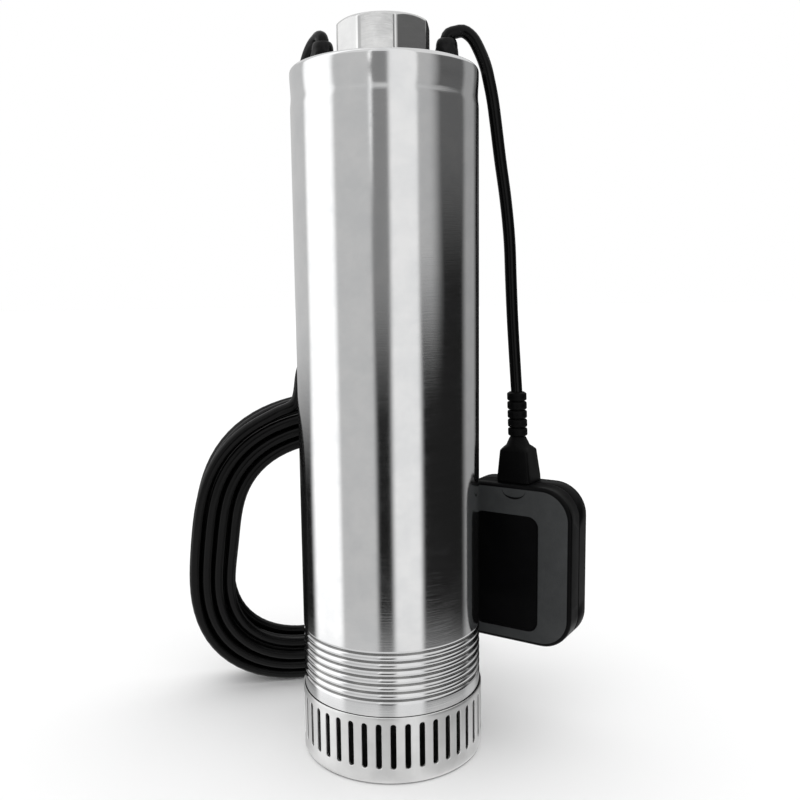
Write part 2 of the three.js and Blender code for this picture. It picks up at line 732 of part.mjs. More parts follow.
function springPoints() {
  const low = springFoot + springWire;
  const high = springTop - springWire;
  const steps = springTurns * 8;
  return Array.from({ length: steps + 1 }, (_, i) => {
    const angle = (2 * Math.PI * i) / 8;
    const height = low + ((high - low) * i) / steps;
    return [springRadius * Math.cos(angle), springRadius * Math.sin(angle), height];
  });
}
sizes.sealSpringGap = leastSelfGap(springPoints(), springWire, 6);
add('seal_spring', sweptTube(springPoints(), springWire, 4), polishedSteel);

// ---------------------------------------------------------------- motor
add('motor_sleeve', tube(sleeveBore, sleeveRadius, sleeveBottom, sleeveTop), satinSteel);

const pocketRadius = bearingRadius + fitGap;
const lowerPocket = lowerBracketFoot + bracketFloor;
add('lower_bearing_bracket', revolve([
  [springRadius + 2, lowerBracketFoot], [spigotRadius, lowerBracketFoot], [spigotRadius, lowerBracketTop],
  [pocketRadius, lowerBracketTop], [pocketRadius, lowerPocket], [springRadius + 2, lowerPocket],
]), aluminium);

function upperBracket() {
  const pocketTop = upperBearingFoot + bearingWidth + fitGap;
  const body = solid(revolve([
    [0, pocketTop], [pocketRadius, pocketTop], [pocketRadius, upperBracketFoot],
    [spigotRadius, upperBracketFoot], [spigotRadius, upperBracketTop + 2], [0, upperBracketTop + 2],
  ]));
  const rim = solid(disc(spigotRadius - 3, upperBracketTop, upperBracketTop + 4));
  const hole = disc(wireHoleRadius, upperBracketFoot - 1, upperBracketTop + 3, 8)
    .translate(spigotRadius - wireHoleInset, 0, 0);
  return cut(body, rim, ...wireHoleTurns.map((turn) => turned(solid(hole), turn)));
}
add('upper_bearing_bracket', upperBracket(), aluminium);

// Bearings: a sealed outer race just clears the inner one.
function bearing(prefix, foot) {
  const top = foot + bearingWidth - fitGap;
  const outerRace = tube(innerRaceRadius + runGap, bearingRadius, foot, top);
  const innerRace = tube(bearingJournal + fitGap, innerRaceRadius, foot, top, smallSides);
  add(`${prefix}_bearing_outer_race`, outerRace, machinedSteel);
  add(`${prefix}_bearing_inner_race`, innerRace, polishedSteel);
}
bearing('lower', bearingFoot);
bearing('upper', upperBearingFoot);

function statorCore() {
  const pitch = (2 * Math.PI) / statorSlots;
  const half = (pitch * statorSlotShare) / 2;
  const mouth = statorBore;
  const floor = statorBore + statorSlotDepth;
  const bore = Array.from({ length: statorSlots }, (_, i) => [
    [mouth, -half], [floor, -half], [floor, half], [mouth, half],
  ].map(([r, a]) => new THREE.Vector2(r * Math.cos(i * pitch + a), r * Math.sin(i * pitch + a)))).flat();
  const outline = new THREE.Shape(Array.from({ length: insideSides }, (_, i) => {
    const angle = (2 * Math.PI * i) / insideSides;
    return new THREE.Vector2(spigotRadius * Math.cos(angle), spigotRadius * Math.sin(angle));
  }));
  outline.holes.push(new THREE.Path(bore));
  const core = new THREE.ExtrudeGeometry(outline, { depth: statorLength, bevelEnabled: false });
  return closed(core.translate(0, 0, statorFoot));
}
add('stator_core', statorCore(), ironLaminations);

function windingHead(foot, up) {
  const shoulder = 5;
  const [near, far] = up ? [foot, foot + windingHeight] : [foot + windingHeight, foot];
  const turn = up ? -shoulder : shoulder;
  return revolve([
    [windingInner, near], [windingOuter, near], [windingOuter, far + turn], [windingOuter - shoulder, far],
    [windingInner, far],
  ]);
}
add('lower_winding_head', windingHead(lowerWindingFoot, false), copper);
add('upper_winding_head', windingHead(upperWindingFoot, true), copper);

add('rotor_core', revolve([
  [rotorJournal + fitGap, statorFoot - endRingHeight], [endRingRadius, statorFoot - endRingHeight],
  [endRingRadius, statorFoot], [statorBore - runGap, statorFoot], [statorBore - runGap, statorTop],
  [endRingRadius, statorTop], [endRingRadius, statorTop + endRingHeight],
  [rotorJournal + fitGap, statorTop + endRingHeight],
], impellerSides), ironLaminations);

function motorCap() {
  const body = solid(revolve([
    [0, capFoot], [spigotRadius, capFoot], [spigotRadius, capFlangeFoot],
    [sleeveRadius, capFlangeFoot], [sleeveRadius, capTop], [0, capTop],
  ]));
  const column = (turn, radius, low, high) => {
    const [x, y] = glandPlace(turn);
    return solid(disc(radius, low, high, glandSides).translate(x, y, 0));
  };
  const turns = [powerGlandTurn, floatGlandTurn];
  const columns = turns.map((turn) => column(turn, columnRadius, capTop - 1, columnTop));
  const conduits = turns.map((turn) => column(turn, conduitRadius, capFoot - 1, columnTop + 1));
  const socketFoot = columnTop - glandStemReach;
  const sockets = turns.map((turn) => column(turn, glandStemRadius + fitGap, socketFoot, columnTop + 1));
  return cut(join(body, ...columns), ...conduits, ...sockets);
}
add('motor_cap', motorCap(), satinSteel);
add('cap_gasket', gasket(sleeveTop + fitGap), blackRubber);

function capacitor() {
  const foot = upperBracketTop + fitGap;
  const can = disc(capacitorRadius, foot, foot + capacitorHeight, smallSides);
  const tab = new THREE.BoxGeometry(6, 1, 7);
  const tabs = [-5, 5].map((x) => solid(tab.clone().translate(x, 0, foot + capacitorHeight + 3)));
  return join(solid(can), ...tabs).translate([...capacitorPlace, 0]);
}
add('run_capacitor', capacitor(), greyPlastic);

function terminalBlock() {
  const [width, depth, height] = terminalSize;
  const body = solid(new THREE.BoxGeometry(width, depth, height));
  const well = new THREE.CylinderGeometry(wellRadius, wellRadius, height, 8).rotateX(Math.PI / 2);
  const places = [-wellPitch, 0, wellPitch];
  const wells = places.map((across) => solid(well.clone().translate(across, 0, height / 2)));
  const [x, y] = terminalPlace;
  return cut(body, ...wells).translate([x, y, upperBracketTop + fitGap + height / 2]);
}
add('terminal_block', terminalBlock(), blackPlastic);

// ---------------------------------------------------------------- power cable
// The coil stands on the floor behind the casing and leans on it. Its loops lie in a plane with
// these three directions: sideways, up along the lean, and back through the layers.
const lean = radians(coilLean);
const yaw = radians(coilYaw);
const sideways = [Math.cos(yaw), Math.sin(yaw), 0];
const backward = [-Math.sin(yaw), Math.cos(yaw), 0];
const upward = [-backward[0] * Math.sin(lean), -backward[1] * Math.sin(lean), Math.cos(lean)];
const through = [backward[0] * Math.cos(lean), backward[1] * Math.cos(lean), Math.sin(lean)];
const coilTurns = coilWholeTurns + (coilEndTurn - coilStartTurn) / 360;
const layerTurns = coilTurns / coilLayers;
const halfBand = (layerTurns * coilPitch) / 2;
const halfLayers = ((coilLayers - 1) / 2) * coilLayerPitch;

// Radius of the band's middle at an angle.
function coilMiddle(angle) {
  const square = coilSquare * Math.cos(4 * angle - Math.PI);
  const oval = coilOval * Math.cos(2 * (angle - radians(coilOvalTurn)));
  return coilMeanRadius * (1 + square + oval + coilEgg * Math.cos(angle - radians(coilEggTurn)));
}

const coilTopReach = (coilMiddle(Math.PI / 2) + halfBand) * Math.sin(lean);
const coilSetback = casingRadius + fitGap + coilTopReach + halfLayers * Math.cos(lean) + cableRadius;
const coilCentreY = (coilSetback - backward[0] * coilCentreX) / backward[1];

// Where the coil's path is after so many turns: angle, distance from the middle, depth.
function coilPlace(turns) {
  const layer = turns / layerTurns;
  const half = 0.25 / layerTurns; // the climb takes half a turn
  const into = Math.floor(Math.min(layer, coilLayers - 1e-9));
  const along = layer - into;
  const inward = into % 2 === 0;
  const across = halfBand * (1 - 2 * (inward ? along : 1 - along));
  let level = into;
  const nearest = Math.round(layer);
  if (nearest > 0 && nearest < coilLayers && Math.abs(layer - nearest) < half) {
    const climb = THREE.MathUtils.smoothstep(layer, nearest - half, nearest + half);
    level = nearest - 1 + climb;
  }
  const angle = radians(coilStartTurn) + 2 * Math.PI * turns;
  const depth = (level - (coilLayers - 1) / 2) * coilLayerPitch;
  return { angle, reach: coilMiddle(angle) + across, depth };
}

function coilPoint(turns) {
  const { angle, reach, depth } = coilPlace(turns);
  return [coilCentreX, coilCentreY, 0].map((c, k) => c + sideways[k] * reach * Math.cos(angle)
    + upward[k] * reach * Math.sin(angle) + through[k] * depth);
}

const toward = (from, to, length) => {
  const d = to.map((v, k) => v - from[k]);
  const size = Math.hypot(...d);
  return from.map((v, k) => v + (d[k] / size) * length);
};

const coilStepCount = Math.round(coilTurns * coilSteps);
const coilShares = Array.from({ length: coilStepCount + 1 }, (_, i) => i / coilStepCount);
const levelPath = coilShares.map((share) => coilPoint(coilTurns * share));
const coilHeight = cableRadius + floorGap - Math.min(...levelPath.map((p) => p[2]));
const coilPath = levelPath.map(([x, y, z]) => [x, y, z + coilHeight]);
const coilStart = coilPath[0];
const coilLead = toward(coilStart, coilPath[1], -2 * cableRadius);
const coilEnd = coilPath[coilPath.length - 1];

// The tail runs on along the floor to the plug, which lies behind the casing.
const tailSetback = plugRadius - cableRadius + tailGap;
const alongFloor = (from, reach, back, height) => [
  from[0] + sideways[0] * reach + backward[0] * back,
  from[1] + sideways[1] * reach + backward[1] * back,
  height,
];
const plugFace = alongFloor(coilEnd, tailReach, tailSetback, plugRadius + floorGap);
const tailCurve = new THREE.CubicBezierCurve3(
  new THREE.Vector3(...coilEnd),
  new THREE.Vector3(...toward(coilEnd, coilPath[coilPath.length - 2], -tailReach * 0.4)),
  new THREE.Vector3(...alongFloor(plugFace, -tailReach * 0.4, 0, plugFace[2])),
  new THREE.Vector3(...plugFace),
);
const tail = tailCurve.getPoints(8).slice(1).map((p) => p.toArray());
const woundPath = [coilLead, ...coilPath, ...tail, alongFloor(plugFace, 2 * cableRadius, 0, plugFace[2])];
add('power_cable_coil', sweptTube(woundPath, cableRadius, coilSides), blackRubber);
sizes.coilGap = leastSelfGap(woundPath, cableRadius, coilSteps / 2);

// The riser arches out of its gland, drops behind the casing and runs into the coil.
const [powerX, powerY] = glandPlace(powerGlandTurn);
const riserRoute = [
  [powerX, powerY, nutTop + fitGap], [powerX, powerY, nutTop + 1.4],
  [powerX - 0.9, powerY + 1.8, nutTop + 3.8], [powerX - 2.7, powerY + 5.2, nutTop + 4.9],
  ...riserDrop.map(([turn, out, rise]) => beside(turn, out, casingTop + rise)),
  toward(coilLead, coilStart, -riserLead), toward(coilLead, coilStart, -fitGap),
];
const riserCurve = new THREE.CatmullRomCurve3(riserRoute.map((p) => new THREE.Vector3(...p)));
add('power_cable_riser', cable(riserCurve, 0, 1, 24, cableRadius, 1.35), blackRubber);

function lengthOf(points) {
  return points.slice(1).reduce((sum, p, i) => sum + Math.hypot(...p.map((v, k) => v - points[i][k])), 0);
}
sizes.powerCableLength = lengthOf(woundPath) + riserCurve.getLength();

// A strap round the coil's band keeps the loops together.
function coilTie() {
  const angle = radians(tieTurn);
  const firstPass = ((tieTurn - coilStartTurn + 360) % 360) / 360;
  const passCount = Math.floor(coilTurns - firstPass) + 1;
  const passes = Array.from({ length: passCount }, (_, k) => coilPlace(firstPass + k));
  const reaches = passes.map((pass) => pass.reach);
  const depths = passes.map((pass) => pass.depth);
  const clear = cableRadius + tieSlack;
  const inner = Math.min(...reaches) - clear;
  const outer = Math.max(...reaches) + clear;
  const near = Math.min(...depths) - clear + tieSlack - fitGap;
  const far = Math.max(...depths) + clear - tieSlack + fitGap;
  const band = (grow) => prism([
    [inner - grow, near - grow], [outer + grow, near - grow],
    [outer + grow, far + grow], [inner - grow, far + grow],
  ], -tieWidth / 2, tieWidth / 2);
  const strap = geometryOf(cut(solid(band(tieThickness)), solid(band(0).scale(1, 1, 2))));
  const radial = [0, 1, 2].map((k) => sideways[k] * Math.cos(angle) + upward[k] * Math.sin(angle));
  const around = [0, 1, 2].map((k) => -sideways[k] * Math.sin(angle) + upward[k] * Math.cos(angle));
  const frame = new THREE.Matrix4().makeBasis(
    new THREE.Vector3(...radial), new THREE.Vector3(...through), new THREE.Vector3(...around).negate(),
  );
  frame.setPosition(coilCentreX, coilCentreY, coilHeight);
  return closed(strap.applyMatrix4(frame));
}
add('coil_tie', coilTie(), blackRubber);

// Plug: a tapered strain relief, then a round moulded body with two pins.
const plugGroup = new THREE.Group();
plugGroup.position.set(...alongFloor(plugFace, 2 * cableRadius + fitGap, 0, plugFace[2]));
plugGroup.rotation.z = yaw;
pump.add(plugGroup);
add('plug_strain_relief', revolve([
  [0, 0], [cableRadius + 1, 0], [bootRadius, bootLength], [0, bootLength],
], 12).rotateY(Math.PI / 2), blackRubber, plugGroup);
function plug() {
  const body = solid(revolve([
    [0, 0], [plugNeck, 0], [plugNeck + 1.5, 6], [plugRadius, 15], [plugRadius, plugLength], [0, plugLength],
  ], smallSides));
  const pins = [-1, 1].map((s) => solid(revolve([
    [0, plugLength - 1], [pinRadius, plugLength - 1], [pinRadius, plugLength + pinLength - 1],
    [pinRadius - 1, plugLength + pinLength], [0, plugLength + pinLength],
  ], 8).translate(0, (s * pinSpacing) / 2, 0)));
  return geometryOf(join(body, ...pins)).rotateY(Math.PI / 2).translate(bootLength + fitGap, 0, 0);
}
add('power_plug', plug(), blackPlastic, plugGroup);

// ---------------------------------------------------------------- float switch
const [floatGlandX, floatGlandY] = glandPlace(floatGlandTurn);
const [floatX, floatY] = beside(floatBearing, floatOut, 0);
const [cableX, cableY] = beside(floatBearing, floatOut - bootLean, 0);
const floatRoute = [
  [floatGlandX, floatGlandY, nutTop + fitGap], [floatGlandX, floatGlandY, nutTop + 1.6],
  [floatGlandX + 1.9, floatGlandY + 0.1, nutTop + 3.7], [floatGlandX + 6, floatGlandY + 0.3, nutTop + 4.6],
  ...archRoute.map(([turn, out, rise]) => beside(turn, out, casingTop + rise)),
  [cableX, cableY, bootTop + fitGap],
];
const floatCurve = new THREE.CatmullRomCurve3(floatRoute.map((p) => new THREE.Vector3(...p)));
sizes.floatCableLength = floatCurve.getLength();

// Where along the cable it passes the split height on its way down.
function splitShare() {
  let low = 0.2;
  let high = 0.8;
  for (let i = 0; i < 40; i += 1) {
    const middle = (low + high) / 2;
    if (floatCurve.getPointAt(middle).z > dropSplit) low = middle;
    else high = middle;
  }
  return low;
}
const split = splitShare();
const splitGap = fitGap / sizes.floatCableLength;
add('float_cable_arch', cable(floatCurve, 0, split, 12, cableRadius), blackRubber);
add('float_cable_drop', cable(floatCurve, split + splitGap, 1, 10, cableRadius), blackRubber);

const floatGroup = new THREE.Group();
floatGroup.position.set(floatX, floatY, 0);
floatGroup.rotation.z = radians(floatTurn);
pump.add(floatGroup);

// The boot: ribbed sleeve, cone and a flared shoulder that clips over the shells.
function floatBoot() {
  const shoulderTop = bootFoot + bootShoulderHeight;
  const [topHalf, footHalf] = bootShoulderHalf;
  const [topDepth, footDepth] = bootShoulderDepth;
  const profile = [[0, shoulderTop - 1], [topDepth - 0.5, shoulderTop - 1], [topDepth - 0.5, shoulderTop]];
  for (let i = 0; i < bootRibs; i += 1) {
    const low = bootNeckFoot + i * bootRibPitch;
    const high = low + bootRibPitch;
    profile.push([bootNeckRadius, low]);
    profile.push([bootRibRadius, low + bootRibSlope], [bootRibRadius, high - bootRibSlope]);
  }
  profile.push([bootNeckRadius, bootTop], [0, bootTop]);
  const outline = (top, foot) => [
    [-foot, bootFoot], [foot, bootFoot], [foot, bootFoot + 4], [top, shoulderTop - 2], [top - 2, shoulderTop],
    [2 - top, shoulderTop], [-top, shoulderTop - 2], [-foot, bootFoot + 4],
  ];
  const standing = (corners) => solid(prism(corners, -footHalf * 2, footHalf * 2).rotateX(Math.PI / 2));
  const shoulder = standing(outline(topHalf, footHalf)).intersect(
    standing(outline(topDepth, footDepth)).rotate([0, 0, 90]),
  );
  const [leanX, leanY] = onCircle(bootLean / (bootTop - bootFoot), floatBearing + 180 - floatTurn);
  return join(shoulder, solid(revolve(profile, smallSides))).transform([
    1, 0, 0, 0, 0, 1, 0, 0, leanX, leanY, 1, 0, -leanX * bootFoot, -leanY * bootFoot, 0, 1,
  ]);
}
add('float_boot', floatBoot(), blackPlastic, floatGroup);

// Two moulded half shells with a bevelled frame round a sunk panel; the seam is across the depth.
function floatShell(sign) {
  const half = floatDepth / 2;
  const middle = floatBottom + floatHeight / 2;
  const shape = new THREE.Shape(roundedRectangle(
    floatWidth - 2 * floatBevel, floatHeight - 2 * floatBevel, floatCorner - floatBevel,
  ).map(([x, y]) => new THREE.Vector2(x, y)));
  const full = solid(new THREE.ExtrudeGeometry(shape, {
    depth: floatDepth - 2 * floatBevel, bevelThickness: floatBevel, bevelSize: floatBevel, bevelSegments: 2,
  })).translate([0, 0, floatBevel - half]);
  const inside = solid(prism(roundedRectangle(
    floatWidth - 2 * floatWall, floatHeight - 2 * floatWall, floatCorner - floatWall,
  ), floatWall - half, half - floatWall));
  const side = 4 * floatWidth;
  const upper = solid(new THREE.BoxGeometry(side, side, side).translate(0, 0, side / 2 + seamGap / 2));
  const panelMiddle = floatBottom + panelFoot + panelHeight / 2 - middle;
  const panelOutline = roundedRectangle(panelWidth, panelHeight, panelCorner);
  const panel = solid(prism(panelOutline, half - panelDepth, half + 1))
    .translate([panelShift, -sign * panelMiddle, 0]);
  const body = cut(full.intersect(upper), inside, panel);
  const spread = sign < 0 ? body.rotate([90, 0, 0]) : body.rotate([-90, 0, 0]);
  return spread.translate([0, 0, middle]);
}
add('float_shell_front', floatShell(-1), greyPlastic, floatGroup);
add('float_shell_back', floatShell(1), greyPlastic, floatGroup);

// The seam's rubber strip, between the shells' rims.
function floatSeam() {
  const width = seamGap - 2 * fitGap;
  const inset = floatWall * 0.15;
  const outline = (grow) => {
    const edge = roundedRectangle(floatWidth + 2 * grow, floatHeight + 2 * grow, floatCorner + grow);
    return prism(edge, -width / 2, width / 2);
  };
  const strip = cut(solid(outline(-inset)), solid(outline(inset - floatWall).scale(1, 1, 2)));
  return strip.rotate([90, 0, 0]).translate([0, 0, floatBottom + floatHeight / 2]);
}
add('float_seam_seal', floatSeam(), blackRubber, floatGroup);

// Inside the float a steel ball rolls along a bore and tips the lever of a small switch.
const caseFoot = floatBottom + (floatHeight - caseHeight) / 2;
const boreFoot = caseFoot + caseFloor;
const ballHeight = boreFoot + ballRadius + fitGap;
const caseDepth = floatDepth - 2 * floatWall - 2 * fitGap;
const leverHeight = ballHeight + ballTravel + ballRadius + 2 * fitGap - leverLift;
const pocketFoot = leverHeight - pocketDip;

function switchCase() {
  const block = new THREE.BoxGeometry(caseWidth, caseDepth, caseHeight);
  const body = solid(block.translate(0, 0, caseFoot + caseHeight / 2));
  const bore = solid(disc(ballRadius + runGap, boreFoot, pocketFoot + 1, smallSides));
  const pocketHeight = caseFoot + caseHeight + 1 - pocketFoot;
  const pocket = solid(new THREE.BoxGeometry(caseWidth - 4, caseDepth - 10, pocketHeight)
    .translate(0, 0, pocketFoot + pocketHeight / 2));
  return cut(body, bore, pocket);
}
add('switch_case', switchCase(), paleResin, floatGroup);
const ball = new THREE.SphereGeometry(ballRadius, smallSides, 8).translate(0, 0, ballHeight);
add('float_ball', closed(ball), polishedSteel, floatGroup);

// The switch hangs its lever from a lug at the side of the pocket.
function microswitch() {
  const [width, depth, height] = switchSize;
  const side = caseWidth / 2 - 2 - fitGap;
  const foot = leverHeight + leverThickness + fitGap + leverLift;
  const lugWidth = side - leverArm - fitGap;
  const lugFoot = leverHeight - pocketDip / 2;
  const body = new THREE.BoxGeometry(width, depth, height).translate(side - width / 2, 0, foot + height / 2);
  const lug = new THREE.BoxGeometry(lugWidth, leverWidth, foot + 1 - lugFoot)
    .translate(side - lugWidth / 2, 0, (foot + 1 + lugFoot) / 2);
  return join(solid(body), solid(lug));
}
add('microswitch', microswitch(), blackPlastic, floatGroup);
add('switch_lever', new THREE.BoxGeometry(leverArm + leverTip, leverWidth, leverThickness)
  .translate((leverArm - leverTip) / 2, 0, leverHeight + leverThickness / 2), polishedSteel, floatGroup);

for (const [name, value] of Object.entries(sizes)) console.log(`${name} ${value.toFixed(2)} mm`);

export default pump;
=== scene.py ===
import json
from math import acos, copysign, cos, exp, hypot, log, pi, radians, sin, sqrt, tan

import bmesh
import bpy
from mathutils import Matrix, Vector


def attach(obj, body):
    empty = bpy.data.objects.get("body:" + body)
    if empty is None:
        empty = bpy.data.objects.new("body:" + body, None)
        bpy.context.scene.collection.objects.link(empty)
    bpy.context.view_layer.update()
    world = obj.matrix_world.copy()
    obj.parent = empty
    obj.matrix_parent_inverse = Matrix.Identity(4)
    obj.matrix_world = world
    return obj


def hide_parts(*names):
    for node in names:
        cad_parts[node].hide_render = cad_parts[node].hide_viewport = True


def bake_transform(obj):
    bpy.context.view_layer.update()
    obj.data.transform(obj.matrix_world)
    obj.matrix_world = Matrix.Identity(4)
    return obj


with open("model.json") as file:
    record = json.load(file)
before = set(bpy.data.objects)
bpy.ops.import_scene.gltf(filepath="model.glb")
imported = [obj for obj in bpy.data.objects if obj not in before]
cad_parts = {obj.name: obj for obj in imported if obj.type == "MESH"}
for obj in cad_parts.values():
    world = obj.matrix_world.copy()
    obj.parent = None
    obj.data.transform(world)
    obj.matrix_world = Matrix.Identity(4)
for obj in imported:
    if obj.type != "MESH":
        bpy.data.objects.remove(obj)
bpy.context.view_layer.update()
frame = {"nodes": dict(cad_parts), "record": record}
scene = bpy.context.scene
mm = 0.001
print("frame loaded:", len(frame["nodes"]), "nodes")

# Sizes that several pieces share, in millimetres. Z is up, -Y faces the camera.
pump = {
    "casingRadius": 64, "casingWall": 2, "casingBottom": 48, "casingTop": 478,
    "headTop": 475.7, "insideRadius": 61.7, "nutTop": 499.7,
    "powerGland": (-41.898, 9.673), "powerTurn": 167,
    "floatGland": (42.836, 3.748), "floatTurn": 5,
}


# Shape helpers, all in millimetres

def onCircle(degrees):
    return Vector((cos(radians(degrees)), sin(radians(degrees))))


def beside(turn, out, height):
    # Degrees round the casing, distance out from its wall, height.
    x, y = onCircle(turn) * (pump["casingRadius"] + out)
    return Vector((x, y, height))


def smoothPath(points, gap=2.0):
    # A centripetal curve through the points, with a sample about every gap.
    ends = [points[0] * 2 - points[1], *points, points[-1] * 2 - points[-2]]
    path = []
    for before, here, there, after in zip(ends, ends[1:], ends[2:], ends[3:]):
        behind, step, ahead = here - before, there - here, after - there
        first, middle, last = [max(leg.length, 1e-4) ** 0.5 for leg in (behind, step, ahead)]
        leave = (behind / first - (there - before) / (first + middle) + step / middle) * middle
        arrive = (step / middle - (after - here) / (middle + last) + ahead / last) * middle
        count = max(2, round(step.length / gap))
        for k in range(count):
            t = k / count
            path.append(here + leave * t + (step * 3 - leave * 2 - arrive) * t ** 2
                        + (leave + arrive - step * 2) * t ** 3)
    return path + [points[-1]]


def pathLength(path):
    return sum((b - a).length for a, b in zip(path, path[1:]))


def linked(name, data):
    made = bpy.data.objects.new(name, data)
    scene.collection.objects.link(made)
    return made


def newPiece(name, points, faces, materials, sharp=32, materialOf=None):
    mesh = bpy.data.meshes.new(name)
    mesh.from_pydata([Vector(p) * mm for p in points], [], faces)
    for material in materials if isinstance(materials, (list, tuple)) else [materials]:
        mesh.materials.append(material)
    if materialOf:
        mesh.polygons.foreach_set("material_index", [materialOf(k) for k in range(len(mesh.polygons))])
    work = bmesh.new()
    work.from_mesh(mesh)
    bmesh.ops.remove_doubles(work, verts=work.verts, dist=2e-6)
    bmesh.ops.recalc_face_normals(work, faces=work.faces)
    work.to_mesh(mesh)
    work.free()
    mesh.shade_smooth()
    mesh.set_sharp_from_angle(angle=radians(sharp))
    return linked(name, mesh)


def skin(name, rings, material, ends="capped", **more):
    # Quads between rings of equal count; ends are capped, or joined round to the first ring.
    count = len(rings[0])
    points = [p for ring in rings for p in ring]
    faces = []
    last = len(rings) if ends == "joined" else len(rings) - 1
    for k in range(last):
        low, high = k * count, (k + 1) % len(rings) * count
        for i in range(count):
            j = (i + 1) % count
            faces.append((low + i, low + j, high + j, high + i))
    if ends == "capped":
        faces.append(tuple(range(count)))
        faces.append(tuple(range(len(points) - count, len(points))))
    return newPiece(name, points, faces, material, **more)


def ringsOf(profile, sides, shift=0.0, centre=(0, 0)):
    # A ring for each (radius, height). The radius is a number, or a function of the angle.
    rings = []
    for radius, height in profile:
        ring = []
        for i in range(sides):
            angle = 2 * pi * i / sides + shift
            reach = radius(angle) if callable(radius) else radius
            ring.append((centre[0] + reach * cos(angle), centre[1] + reach * sin(angle), height))
        rings.append(ring)
    return rings


def softProfile(corners, steps=4):
    # Corners are (radius, height) or (radius, height, fillet).
    profile = []
    for k, corner in enumerate(corners):
        here = Vector(corner[:2])
        if len(corner) == 2:
            profile.append(tuple(here))
            continue
        back = (Vector(corners[k - 1][:2]) - here).normalized()
        ahead = (Vector(corners[(k + 1) % len(corners)][:2]) - here).normalized()
        half = acos(max(-1, min(1, back.dot(ahead)))) / 2
        reach = corner[2] / tan(half)
        middle = here + (back + ahead).normalized() * (corner[2] / sin(half))
        start, end = here + back * reach - middle, here + ahead * reach - middle
        sweep = start.angle_signed(end)
        for i in range(steps + 1):
            turn = Matrix.Rotation(-sweep * i / steps, 2)
            profile.append(tuple(middle + turn @ start))
    return profile


def polygonReach(angle, sides, flats, corner, turn):
    # Distance out to a regular polygon with rounded corners.
    half = pi / sides
    off = abs((angle - turn + half) % (2 * half) - half)
    inner = flats / 2 - corner
    if flats / 2 * tan(off) <= inner * tan(half):
        return flats / 2 / cos(off)
    centre = inner / cos(half)
    lean = half - off
    return centre * cos(lean) + sqrt(max(corner ** 2 - (centre * sin(lean)) ** 2, 0))


def roundedLoop(width, height, corner, cornerSteps, sideSteps):
    # A rounded rectangle, with the same count of points whatever its size.
    loop = []
    middles = [Vector((sx * (width / 2 - corner), sy * (height / 2 - corner)))
               for sx, sy in ((1, 1), (-1, 1), (-1, -1), (1, -1))]
    for k, middle in enumerate(middles):
        for i in range(cornerSteps + 1):
            loop.append(middle + onCircle(90 * (k + i / cornerSteps)) * corner)
        start, end = loop[-1], middles[(k + 1) % 4] + onCircle(90 * (k + 1)) * corner
        loop += [start.lerp(end, i / sideSteps) for i in range(1, sideSteps)]
    return loop


def tubeRings(path, radius, sides):
    # Rings along a path, turned as little as the path lets them.
    rings = []
    section = [onCircle(360 * i / sides) * radius for i in range(sides)]
    forward = (path[1] - path[0]).normalized()
    side = forward.orthogonal().normalized()
    for k, here in enumerate(path):
        ahead = (path[min(k + 1, len(path) - 1)] - path[max(k - 1, 0)]).normalized()
        side = (forward.rotation_difference(ahead) @ side).normalized()
        side = (side - ahead * side.dot(ahead)).normalized()
        forward = ahead
        up = forward.cross(side)
        rings.append([here + side * x + up * y for x, y in section])
    return rings


def cordCurve(name, path, radius, material):
    data = bpy.data.curves.new(name, "CURVE")
    data.dimensions = "3D"
    data.bevel_depth = radius * mm
    data.bevel_resolution = 6
    data.use_fill_caps = True
    spline = data.splines.new("POLY")
    spline.points.add(len(path) - 1)
    for point, place in zip(spline.points, path):
        point.co = (*(place * mm), 1)
    data.materials.append(material)
    return linked(name, data)


def settle(piece, body, slot, *nodes):
    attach(piece, body)
    if nodes:
        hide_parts(*nodes)
    return piece


# Camera, fitted to the object's edges in the photo

view = {"place": (-0.9, -620, 333), "down": 7.31, "yaw": -0.83, "roll": -0.70, "lens": 39.6,
        "sensorWidth": 36, "clipStart": 0.05}

cameraData = bpy.data.cameras.new("camera")
cameraData.lens = view["lens"]
cameraData.sensor_width = view["sensorWidth"]
cameraData.clip_start = view["clipStart"]
camera = linked("camera", cameraData)
placed = Matrix.Translation(Vector(view["place"]) * mm)
for turn, axis in ((view["yaw"], "Z"), (90 - view["down"], "X"), (view["roll"], "Z")):
    placed = placed @ Matrix.Rotation(radians(turn), 4, axis)
camera.matrix_world = placed
scene.camera = camera
print("camera placed")


# Node helpers

def addNode(tree, kind, inputs=None, **settings):
    # Inputs are values, or sockets to link from, by name or number.
    node = tree.nodes.new("ShaderNode" + kind)
    for key, value in settings.items():
        setattr(node, key, value)
    for key, value in (inputs or {}).items():
        if isinstance(value, bpy.types.NodeSocket):
            tree.links.new(value, node.inputs[key])
        else:
            node.inputs[key].default_value = value
    return node


def newGroup(name, inputs, outputs):
    tree = bpy.data.node_groups.new(name, "ShaderNodeTree")
    for label, value in inputs.items():
        socket = tree.interface.new_socket(label, in_out="INPUT", socket_type="NodeSocketFloat")
        socket.default_value = value
    for label in outputs:
        tree.interface.new_socket(label, in_out="OUTPUT", socket_type="NodeSocketFloat")
    return tree, tree.nodes.new("NodeGroupInput").outputs, tree.nodes.new("NodeGroupOutput").inputs


def mathNode(tree, operation, *values, clamp=False):
    node = addNode(tree, "Math", dict(enumerate(values)), operation=operation, use_clamp=clamp)
    return node.outputs[0]


def objectPlace(tree):
    return addNode(tree, "TexCoord").outputs["Object"]


def noiseNode(tree, place, scale, detail=3.0, roughness=0.55):
    values = {"Vector": place, "Scale": scale, "Detail": detail, "Roughness": roughness}
    return addNode(tree, "TexNoise", values).outputs["Fac"]


def spread(tree, value, low, high, start=0.0, end=1.0):
    values = {"Value": value, "From Min": low, "From Max": high, "To Min": start, "To Max": end}
    return addNode(tree, "MapRange", values).outputs["Result"]


